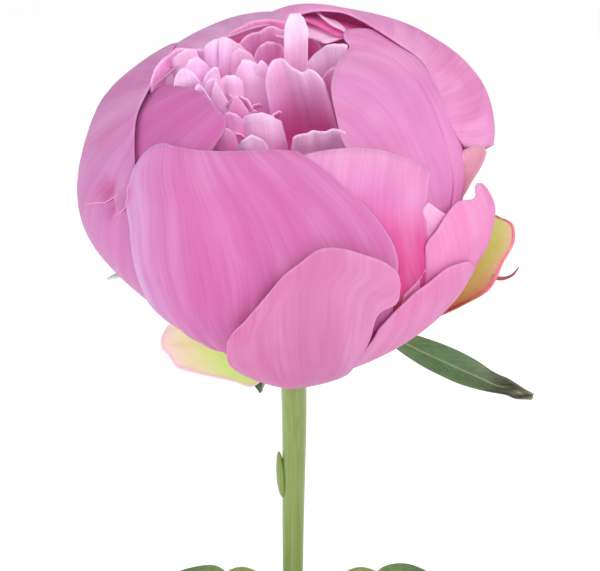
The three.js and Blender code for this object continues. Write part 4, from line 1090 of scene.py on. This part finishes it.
# Small curled petals that fill the gaps of the heart, one shape set out in a spiral round the core.
# Geometry Nodes turn, lean and size each one on its own.
SMALL_PETAL = dict(
    foot=(0, 0, 0), bow=(0, 1.2, 8), tip=(0, -0.6, 13), half=2.8, cup=1.2, wave=0.15, crumple=0.5,
    faces=TO_FRONT,
)
SMALL_STEPS = (14, 16)
SMALL_SEED = 40
SMALL_MARGIN = 0.6
SMALL_PETALS = {
    "Count": 26, "Reach": 0.0098, "Middle": (-0.0125, 0.0062, 0.0168), "Lean": 0.3,
    "Least size": 0.75, "Seed": 4,
    "Place": tuple(BLOOM_CENTRE), "Turn": tuple(bloom_turn.to_euler()),
}
GREATEST_SIZE = 1.15
TURN_JITTER = (0.25, 0.2, 0.9)
GOLDEN_ANGLE = 2.39996

spiral_tree, given = geometry_tree("spiral", {
    "Petal": "NodeSocketObject", "Count": "NodeSocketInt", "Reach": "NodeSocketFloat",
    "Middle": "NodeSocketVector", "Lean": "NodeSocketFloat", "Least size": "NodeSocketFloat",
    "Seed": "NodeSocketInt", "Place": "NodeSocketVector", "Turn": "NodeSocketVector",
    "Skin": "NodeSocketMaterial",
})


def added(tree, first, second):
    """The sum of two places or turns."""
    return node(tree, "ShaderNodeVectorMath", {0: first, 1: second}, operation="ADD").outputs[0]


order = node(spiral_tree, "GeometryNodeInputIndex").outputs[0]
angle = maths(spiral_tree, "MULTIPLY", order, GOLDEN_ANGLE)
spread = maths(spiral_tree, "SQRT", maths(spiral_tree, "DIVIDE", order, given["Count"]))
outwards = maths(spiral_tree, "MULTIPLY", spread, given["Reach"])
inwards = maths(spiral_tree, "MULTIPLY", outwards, -1.0)
side = maths(spiral_tree, "MULTIPLY", maths(spiral_tree, "SINE", angle), outwards)
back = maths(spiral_tree, "MULTIPLY", maths(spiral_tree, "COSINE", angle), inwards)
spot = node(spiral_tree, "ShaderNodeCombineXYZ", {0: side, 1: back}).outputs[0]
dots = node(spiral_tree, "GeometryNodePoints", {
    "Count": given["Count"], "Position": added(spiral_tree, spot, given["Middle"]),
}).outputs[0]
lean = maths(spiral_tree, "MULTIPLY", spread, given["Lean"])
jitter = node(spiral_tree, "FunctionNodeRandomValue", {
    "Min": tuple(-most for most in TURN_JITTER), "Max": TURN_JITTER, "Seed": given["Seed"],
}, data_type="FLOAT_VECTOR").outputs[0]
turn = node(spiral_tree, "ShaderNodeCombineXYZ", {0: lean, 2: angle}).outputs[0]
turn = node(spiral_tree, "FunctionNodeEulerToRotation", {
    0: added(spiral_tree, turn, jitter),
}).outputs[0]
size = node(spiral_tree, "FunctionNodeRandomValue", {
    2: given["Least size"], 3: GREATEST_SIZE, "Seed": given["Seed"],
}, data_type="FLOAT").outputs[1]
source = node(spiral_tree, "GeometryNodeObjectInfo", {
    "Object": given["Petal"],
}).outputs["Geometry"]
crowd = node(spiral_tree, "GeometryNodeInstanceOnPoints", {
    "Points": dots, "Instance": source, "Rotation": turn, "Scale": size,
}).outputs[0]
crowd = node(spiral_tree, "GeometryNodeRealizeInstances", {"Geometry": crowd}).outputs[0]
whole_turn = node(spiral_tree, "FunctionNodeEulerToRotation", {0: given["Turn"]}).outputs[0]
crowd = node(spiral_tree, "GeometryNodeTransform", {
    "Geometry": crowd, "Translation": given["Place"], "Rotation": whole_turn,
}).outputs[0]
crowd = node(spiral_tree, "GeometryNodeSetMaterial", {
    "Geometry": crowd, "Material": given["Skin"],
}).outputs[0]
node(spiral_tree, "NodeGroupOutput", {"Geometry": crowd})

small_grid = standing_petal(SMALL_PETAL, SMALL_STEPS, SMALL_SEED)
small_petal = new_object(
    "small_petal", petal_mesh("small_petal", [(small_grid, ROSE, PETAL_MARGIN, SMALL_MARGIN)]))
thicken(small_petal, PETAL_THICKNESS)
empty = new_object("small_heart_petals", bpy.data.meshes.new("small_heart_petals"))
small_petals = grown(empty, spiral_tree, {
    **SMALL_PETALS, "Petal": small_petal, "Skin": heart_skin,
})
bpy.data.objects.remove(small_petal)
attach(small_petals, "root")
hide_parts("bloom")

# The core, the closed base of the heart, which carries all the petals. Its deep pink, seen in
# the gaps between them, is partly painted shade for the depths of the heart.
CORE_PROFILE = [
    [0, -38.6], [9.5, -38.6], [11.5, -36.6], [12, -32], [14, -25], [19.5, -16],
    [20.5, -6], [19.6, 3], [17.5, 9], [13, 14], [7, 16.4], [0, 17],
]
CORE_SIDES = 64
bloom_place = Matrix.Translation(BLOOM_CENTRE) @ bloom_turn.to_4x4()
core_mesh = turned("bloom_core", CORE_PROFILE, CORE_SIDES)
core_mesh.transform(bloom_place)
core_skin = grainy_skin("core_skin", 300.0, srgb("#d8468e"), srgb("#e66cac"), 0.6)
core = new_object("bloom_core", core_mesh, core_skin)
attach(core, "root")
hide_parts("bloom")

# The calyx, the green cup under the petals: a disc with three sepals, a dark bract that hangs from
# it and the thin awn of the right sepal. It sits on the stem's swollen top.
CALYX_TOP = -38.9
CALYX_RADIUS = 7.5
CALYX_SIDES = 48
SEPAL_STEPS = (36, 36)
SEPAL_SEED = 50
BRACT_STEPS = (16, 30)
BRACT_SEED = 60
BRACT_MARGIN, BRACT_MARGIN_WIDTH = "#d9b39a", 0.5
LEAF_THICKNESS = 0.6

SEPALS = {
    "left": dict(
        left=[[-110, 7, 6.2], [-104, 18, 7.6], [-92, 29, 10.2], [-76, 38, 12.2]],
        top=[[-76, 38, 12.2], [-68.5, 42.4, 12.2], [-62.5, 45.5, 12.2], [-55.4, 47.4, 12.2],
             [-49.6, 48.2, 12.2], [-46.2, 47.5, 12.2]],
        right=[[-10, 7, 6.2], [-16, 20, 9.4], [-23.4, 29.1, 12.2], [-31.1, 30.9, 12.2],
               [-38, 35.9, 12.2], [-42.7, 41.9, 12.2], [-46.2, 47.5, 12.2]],
        lift=6.2, waves=((0.5, 2, 0.5),),
        colours=("#ccec94", "#d8f8a0", "#e2ffae", "#eeffc0", "#fafade", "#fff4f0"),
        margin="#fbdcec", margin_width=1.3,
    ),
    "right": dict(
        left=[[35, 7], [52, 30, 4.6], [65, 48, 6.6], [69, 58, 7.2]],
        top=[[69, 58, 7.2], [68, 66, 7.4], [66.6, 73, 7.4], [67.4, 78, 7], [70, 82.3, 6.4],
             [74, 85.6, 6.9], [79.5, 86, 5.9], [84, 83, 5.1], [87.4, 79.6, 5]],
        right=[[125, 7], [120, 35, 3], [112, 55, 3.8], [102, 68, 4.8], [87.4, 79.6, 5]],
        lift=4.6, belly=0.8, sides=(("#dca078", 0.5), ("#c86850", 0.3)),
        colours=(*("#cc8060",) * 4, "#dcac78", "#f0f0a0", "#eefca4", "#f2ffb4", "#faffd0",
                 "#fff2ee"), margin="#f08498", margin_width=1.6,
    ),
    "back": dict(
        left=[[150, 7], [152, 30], [158, 50]],
        top=[[158, 50], [170, 62], [185, 62]],
        right=[[200, 7], [198, 30], [185, 62]],
        lift=5.2, rim=3, colours=("#9bb463", "#aec674", "#c0d288"), margin="#d98f8f",
        margin_width=0.9,
    ),
}
BRACT = dict(
    foot=(-3.4, -4.6, -40.2), bow=(-9.5, -13, -42), tip=(-8.5, -9.5, -59), half=2.6, cup=0.6,
    faces=(-0.5, -0.7, 0.6), outline=POINTED_TIP, swell=0.1,
    colours=("#5d7d3f", "#35502c", "#2b4527", "#3d5a35"),
)
AWN_COURSE = [[48.8, -18.7, -11], [51, -18.9, -11.5], [53.4, -18.6, -10.8], [55, -18.1, -8.6]]
AWN_RADII = (0.6, 0.12)
AWN_STEPS = 24
AWN_SIDES = 12


def green_skin(name, vein_tint, clouds_tint, roughness, painted_glow):
    """Green tissue: its own colour with a coloured margin, long veins and soft blotches. It glows a
    little in its own colour: a painted glow that lightens it where it is shaded.
    """
    material, tree = new_material(name)
    place = vein_place(tree)
    veins = noise(tree, place, stretch=(1.3, 0.05, 1))
    clouds = noise(tree, place, scale=0.25)
    edge = maths(tree, "ADD", stored(tree, "rim"), clouds)
    tint = share_of(tree, veins, 0.45, 0.7, 0.0, 0.3)
    colour = mixed(tree, tint, stored(tree, "tone"), vein_tint, "MULTIPLY")
    tint = share_of(tree, clouds, 0.4, 0.7, 0.0, 0.5)
    colour = mixed(tree, tint, colour, clouds_tint, "MULTIPLY")
    tint = share_of(tree, edge, 0.5, 1.5, 0.9, 0.0)
    colour = mixed(tree, tint, colour, stored(tree, "margin"))
    show_tissue(tree, 0.5, colour, raised(tree, veins, 0.3, 0.0003), {
        "Roughness": roughness, "Coat Weight": 0.1,
        # Painted light: emission in the tissue's own colour, a painted glow.
        "Emission Color": colour, "Emission Strength": painted_glow,
    })
    return material


# The last number is the sepals' painted glow, which stands for light shining through them.
sepal_green = green_skin("sepal_skin", srgb("#f4f6de"), srgb("#fdf4e4"), 0.45, 0.16)
sepal_grids = [
    (broad_petal(sepal, SEPAL_STEPS, SEPAL_SEED + seed), sepal["colours"], sepal["margin"],
     sepal["margin_width"], *sepal.get("sides", ()))
    for seed, sepal in enumerate(SEPALS.values())
]
bract_grid = in_place(standing_petal(BRACT, BRACT_STEPS, BRACT_SEED))
sepal_grids.append((bract_grid, BRACT["colours"], BRACT_MARGIN, BRACT_MARGIN_WIDTH))
sepals = petal_piece("sepals", sepal_grids, sepal_green, LEAF_THICKNESS)

disc_green = grainy_skin("disc_skin", 400.0, srgb("#8aa356"), srgb("#b3c77b"), 0.5)
disc_mesh = turned("calyx_disc", [
    [0, CALYX_BOTTOM], [CALYX_RADIUS - 1.2, CALYX_BOTTOM], [CALYX_RADIUS - 0.3, CALYX_BOTTOM + 0.4],
    [CALYX_RADIUS, CALYX_BOTTOM + 1.2], [CALYX_RADIUS, CALYX_TOP], [0, CALYX_TOP],
], CALYX_SIDES)
disc_mesh.transform(bloom_place)
disc = new_object("calyx_disc", disc_mesh, disc_green)
awn_course = in_place(smooth_line(AWN_COURSE, AWN_STEPS))
awn_radii = np.linspace(*AWN_RADII, AWN_STEPS + 1)
awn = grown(line_object("sepal_awn", awn_course, awn_radii), shoot_tree, {
    "Sides": AWN_SIDES, "Skin": plain_skin("awn_skin", srgb("#8e3a44"), 0.5),
})
for part in (sepals, disc, awn):
    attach(part, "root")
    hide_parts("calyx")

# The leaves, each a stalk that springs from the stem and one blade or three leaflets, folded a
# little along the midrib, with a waved edge and side veins. The upper right one has a dry tip.
UP = np.array([0, -0.35, 1])
BLADE_FOLD = 0.3
BLADE_WAVE = 0.06
BLADE_FOOT_HALF = 0.5
DRY_FROM, DRY_FADE = 0.6, 0.3
BLADE_SWELL, BLADE_SWELL_SIZE = 0.35, 16
BLADE_STEPS = (24, 70)
BLADE_MARGIN, BLADE_MARGIN_WIDTH = "#56733f", 1
LEAF_SEEDS = 10
STALK_TAPER = 0.25
STALK_START = 2
STALK_STEPS = 40
STALK_SIDES = 16
ROOT_DEPTH = 1.0
SIDE_VEIN_SPACING = 3.4
SIDE_VEIN_SLANT = 2.4
FRESH = ("#7d9650", "#5d7a45", "#4d6a3c", "#4a673b", "#56733f")
DRY_TIP = ("#7d9650", "#5f8048", "#527443", "#4f7040", "#4c6c3c", "#4e683c", "#535a42", "#4e4c3a",
           "#84806c")
GLAUCOUS = ("#8ea37a", "#a3b6a0", "#b9c7bf", "#d3dbd9")
WRINKLE_RADII = (0.05, 0.16)
LEAVES = {
    "upper_leaf_right": dict(
        height=221, azimuth=100, stalk_radius=1.1, colours=DRY_TIP,
        stalk=[[8, 5.6, 225.5], [15, 4.8, 230], [21.5, 4.3, 232.2]],
        blades=[
            dict(foot=(19.5, 4.4, 232.2), bow=(45, 2, 218.6), tip=(61.5, 0, 213.5), half=4.1,
                 dry=1.0, up=(0, -0.9, 1),
                 widths=(0.2, 0.46, 0.7, 0.88, 0.98, 1, 0.9, 0.68, 0.53, 0.38, 0.06)),
        ],
        wrinkles=[
            [[50.4, -3, 220.4], [52.2, -3, 219.5], [54.1, -3, 219], [55.4, -3, 217]],
            [[49.7, -3, 217.6], [51.8, -3, 218.7], [54.1, -3, 217], [56.4, -3, 217]],
            [[52.6, -3, 215.9], [54.9, -3, 217.6], [57.5, -3, 216.4], [60.1, -3, 215.3]],
        ],
    ),
    "upper_leaf_left": dict(
        height=219, azimuth=-110, stalk_radius=1, colours=GLAUCOUS,
        stalk=[[-7, 6, 222.5], [-11, 7.5, 227]],
        blades=[dict(foot=(-9.5, 7, 225.5), bow=(-26, 12, 249), tip=(-47.8, 18, 239.3), half=6)],
    ),
    "lower_leaf_left": dict(
        height=157, azimuth=-70, stalk_radius=1.6, colours=FRESH,
        stalk=[[-8, 1, 160.5], [-14, -4.5, 165.6], [-18.5, -7.5, 165]],
        blades=[
            dict(foot=(-17, -6.5, 165.4), bow=(-33, -18, 162), tip=(-50, -26, 124), half=8.5),
            dict(foot=(-17, -6.5, 165.4), bow=(-20, -27, 164), tip=(-26, -46, 132), half=7),
            dict(foot=(-17, -6.5, 165.4), bow=(-34, 0, 158), tip=(-52, 8, 130), half=7),
        ],
    ),
    "lower_leaf_right": dict(
        height=154.5, azimuth=70, stalk_radius=1.6, colours=FRESH,
        stalk=[[10, 0, 159], [18, -4.5, 165.6], [23.5, -7, 165]],
        blades=[
            dict(foot=(22, -6, 165.2), bow=(38, -16, 162), tip=(55, -25, 122), half=8.8),
            dict(foot=(22, -6, 165.2), bow=(26, -27, 164), tip=(30, -48, 134), half=7.4),
            dict(foot=(22, -6, 165.2), bow=(38, 2, 157), tip=(57, 10, 129), half=7.2),
        ],
    ),
}

leaf_green, tree = new_material("leaf_skin")
place = vein_place(tree)
middle = stored(tree, "middle")
up_blade = node(tree, "ShaderNodeSeparateXYZ", {0: place}).outputs[1]
slant = maths(tree, "MULTIPLY_ADD", middle, -SIDE_VEIN_SLANT, up_blade)
wobble = noise(tree, place, scale=0.35)
slant = maths(tree, "MULTIPLY_ADD", wobble, 2.4, slant)
turns = maths(tree, "MULTIPLY", slant, 2 * math.pi / SIDE_VEIN_SPACING)
side_veins = share_of(tree, maths(tree, "SINE", turns), 0.8, 1.0, 0.0, 0.16)
midrib = share_of(tree, middle, 0.05, 0.3, 0.4, 0.0)
blotches = share_of(tree, wobble, 0.4, 0.7, 0.0, 0.6)
colour = mixed(tree, blotches, stored(tree, "tone"), srgb("#c2cfa8"), "MULTIPLY")
colour = mixed(tree, side_veins, colour, srgb("#8ba366"))
colour = mixed(tree, midrib, colour, srgb("#a9bd7c"))
ridges = maths(tree, "MAXIMUM", side_veins, midrib)
show_tissue(tree, 0.15, colour, raised(tree, ridges, 0.5, 0.0003), {
    "Roughness": 0.42, "Coat Weight": 0.15, "Coat Roughness": 0.35,
})
wrinkle_skin = plain_skin("wrinkle_skin", srgb("#1d1c1a"), 0.6)


def leaf_blade(blade, seed):
    """A blade along a bent spine, folded along its midrib, with a waved edge and, if it is dry, a
    crumpled tip. Its width follows its own list of shares or the usual curve."""
    columns, rows = BLADE_STEPS
    v = np.linspace(0, 1, rows + 1)[:, None]
    spine, tangent = bent_spine(blade, v)
    across = unit(np.cross(tangent, blade.get("up", UP)))
    upward = np.cross(across, tangent)
    if "widths" in blade:
        width = blade["half"] * smooth_value(blade["widths"], v, OUTLINE_STEPS)
    else:
        width = blade["half"] * np.sin(np.pi * v ** 0.8).clip(0) ** 0.8
        width = np.maximum(width, BLADE_FOOT_HALF * (1 - v ** 6))
    u = np.linspace(-1, 1, columns + 1)[None, :]
    fold = (np.sqrt(u * u + 0.01) - 0.1) * width * BLADE_FOLD
    lift = fold + BLADE_WAVE * blade["half"] * np.sin(11 * v + 2 * u) * u * u
    dry = blade.get("dry", 0) * smooth_step((v - DRY_FROM) / DRY_FADE)
    lift = lift + dry * (np.sin(23 * v + 3 * u) * 0.7 + 1.1 * u * u)
    grid = spine[:, None] + across[:, None] * (u * width)[..., None]
    grid = grid + upward[:, None] * lift[..., None]
    swell = BLADE_SWELL * unevenness(grid, seed, BLADE_SWELL_SIZE)
    return grid + upward[:, None] * swell[..., None]


def beside_stem(height, azimuth, away):
    """The point at a height beside the stem, so far away from its skin."""
    index = np.searchsorted(stem_course[:, 2], height)
    side = np.array([math.sin(azimuth), -math.cos(azimuth), 0])
    return stem_course[index] + side * (stem_radii[index] + away)


for seed, (name, leaf) in enumerate(LEAVES.items()):
    azimuth = math.radians(leaf["azimuth"])
    root = beside_stem(leaf["height"], azimuth, -ROOT_DEPTH)
    level = beside_stem(leaf["height"], azimuth, SEAT_GAP + STALK_START)
    course = smooth_line([root, level, *leaf["stalk"]], STALK_STEPS)
    radii = leaf["stalk_radius"] * np.linspace(1, 1 - STALK_TAPER, STALK_STEPS + 1)
    stalk = grown(line_object(name + "_stalk", course, radii), shoot_tree, {
        "Sides": STALK_SIDES, "Skin": stem_green,
    })
    grids = [
        (leaf_blade(blade, LEAF_SEEDS * seed + number), leaf["colours"], BLADE_MARGIN,
         BLADE_MARGIN_WIDTH)
        for number, blade in enumerate(leaf["blades"])
    ]
    blades = petal_piece(name + "_blades", grids, leaf_green, LEAF_THICKNESS)
    wrinkles = [
        laid_line("%s_wrinkle_%d" % (name, number), blades, wrinkle, WRINKLE_RADII, wrinkle_skin)
        for number, wrinkle in enumerate(leaf.get("wrinkles", ()))
    ]
    for part in (stalk, blades, *wrinkles):
        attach(part, "root")
        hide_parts(name)

# The floor and the light: a plain pale floor under an even white sky, with a large soft light above
# on the right and a tall one on the left.
FLOOR_SIZE = 12
SKY_STRENGTH = 0.72
floor_mesh = bpy.data.meshes.new("floor")
half = FLOOR_SIZE / 2
corners = [(-half, -half, 0), (half, -half, 0), (half, half, 0), (-half, half, 0)]
floor_mesh.from_pydata(corners, [], [(0, 1, 2, 3)])
floor_white, tree = new_material("floor_white")
show(tree, node(tree, "ShaderNodeBsdfPrincipled", {
    "Base Color": (0.9, 0.9, 0.9, 1), "Roughness": 0.8,
    "Emission Color": (1, 1, 1, 1), "Emission Strength": 0.25,
}).outputs[0])
floor = new_object("floor", floor_mesh, floor_white)

sky = bpy.data.worlds.new("sky")
scene.world = sky
sky.use_nodes = True
background = sky.node_tree.nodes["Background"]
background.inputs["Color"].default_value = (1, 1, 1, 1)
background.inputs["Strength"].default_value = SKY_STRENGTH


def soft_light(name, place, size, power):
    """A rectangular light in metres and watts that is turned to the bloom."""
    data = bpy.data.lights.new(name, "AREA")
    data.shape = "RECTANGLE"
    data.size, data.size_y = size
    data.energy = power
    lamp = bpy.data.objects.new(name, data)
    scene.collection.objects.link(lamp)
    lamp.location = place
    lamp.rotation_euler = (BLOOM_CENTRE - Vector(place)).to_track_quat("-Z", "Y").to_euler()


soft_light("key_light", (0.7, -0.5, 0.95), (0.6, 0.6), 6)
soft_light("left_light", (-0.8, -0.25, 0.45), (0.25, 0.9), 3.4)
soft_light("front_light", (0.1, -0.9, 0.75), (0.9, 0.6), 2.2)
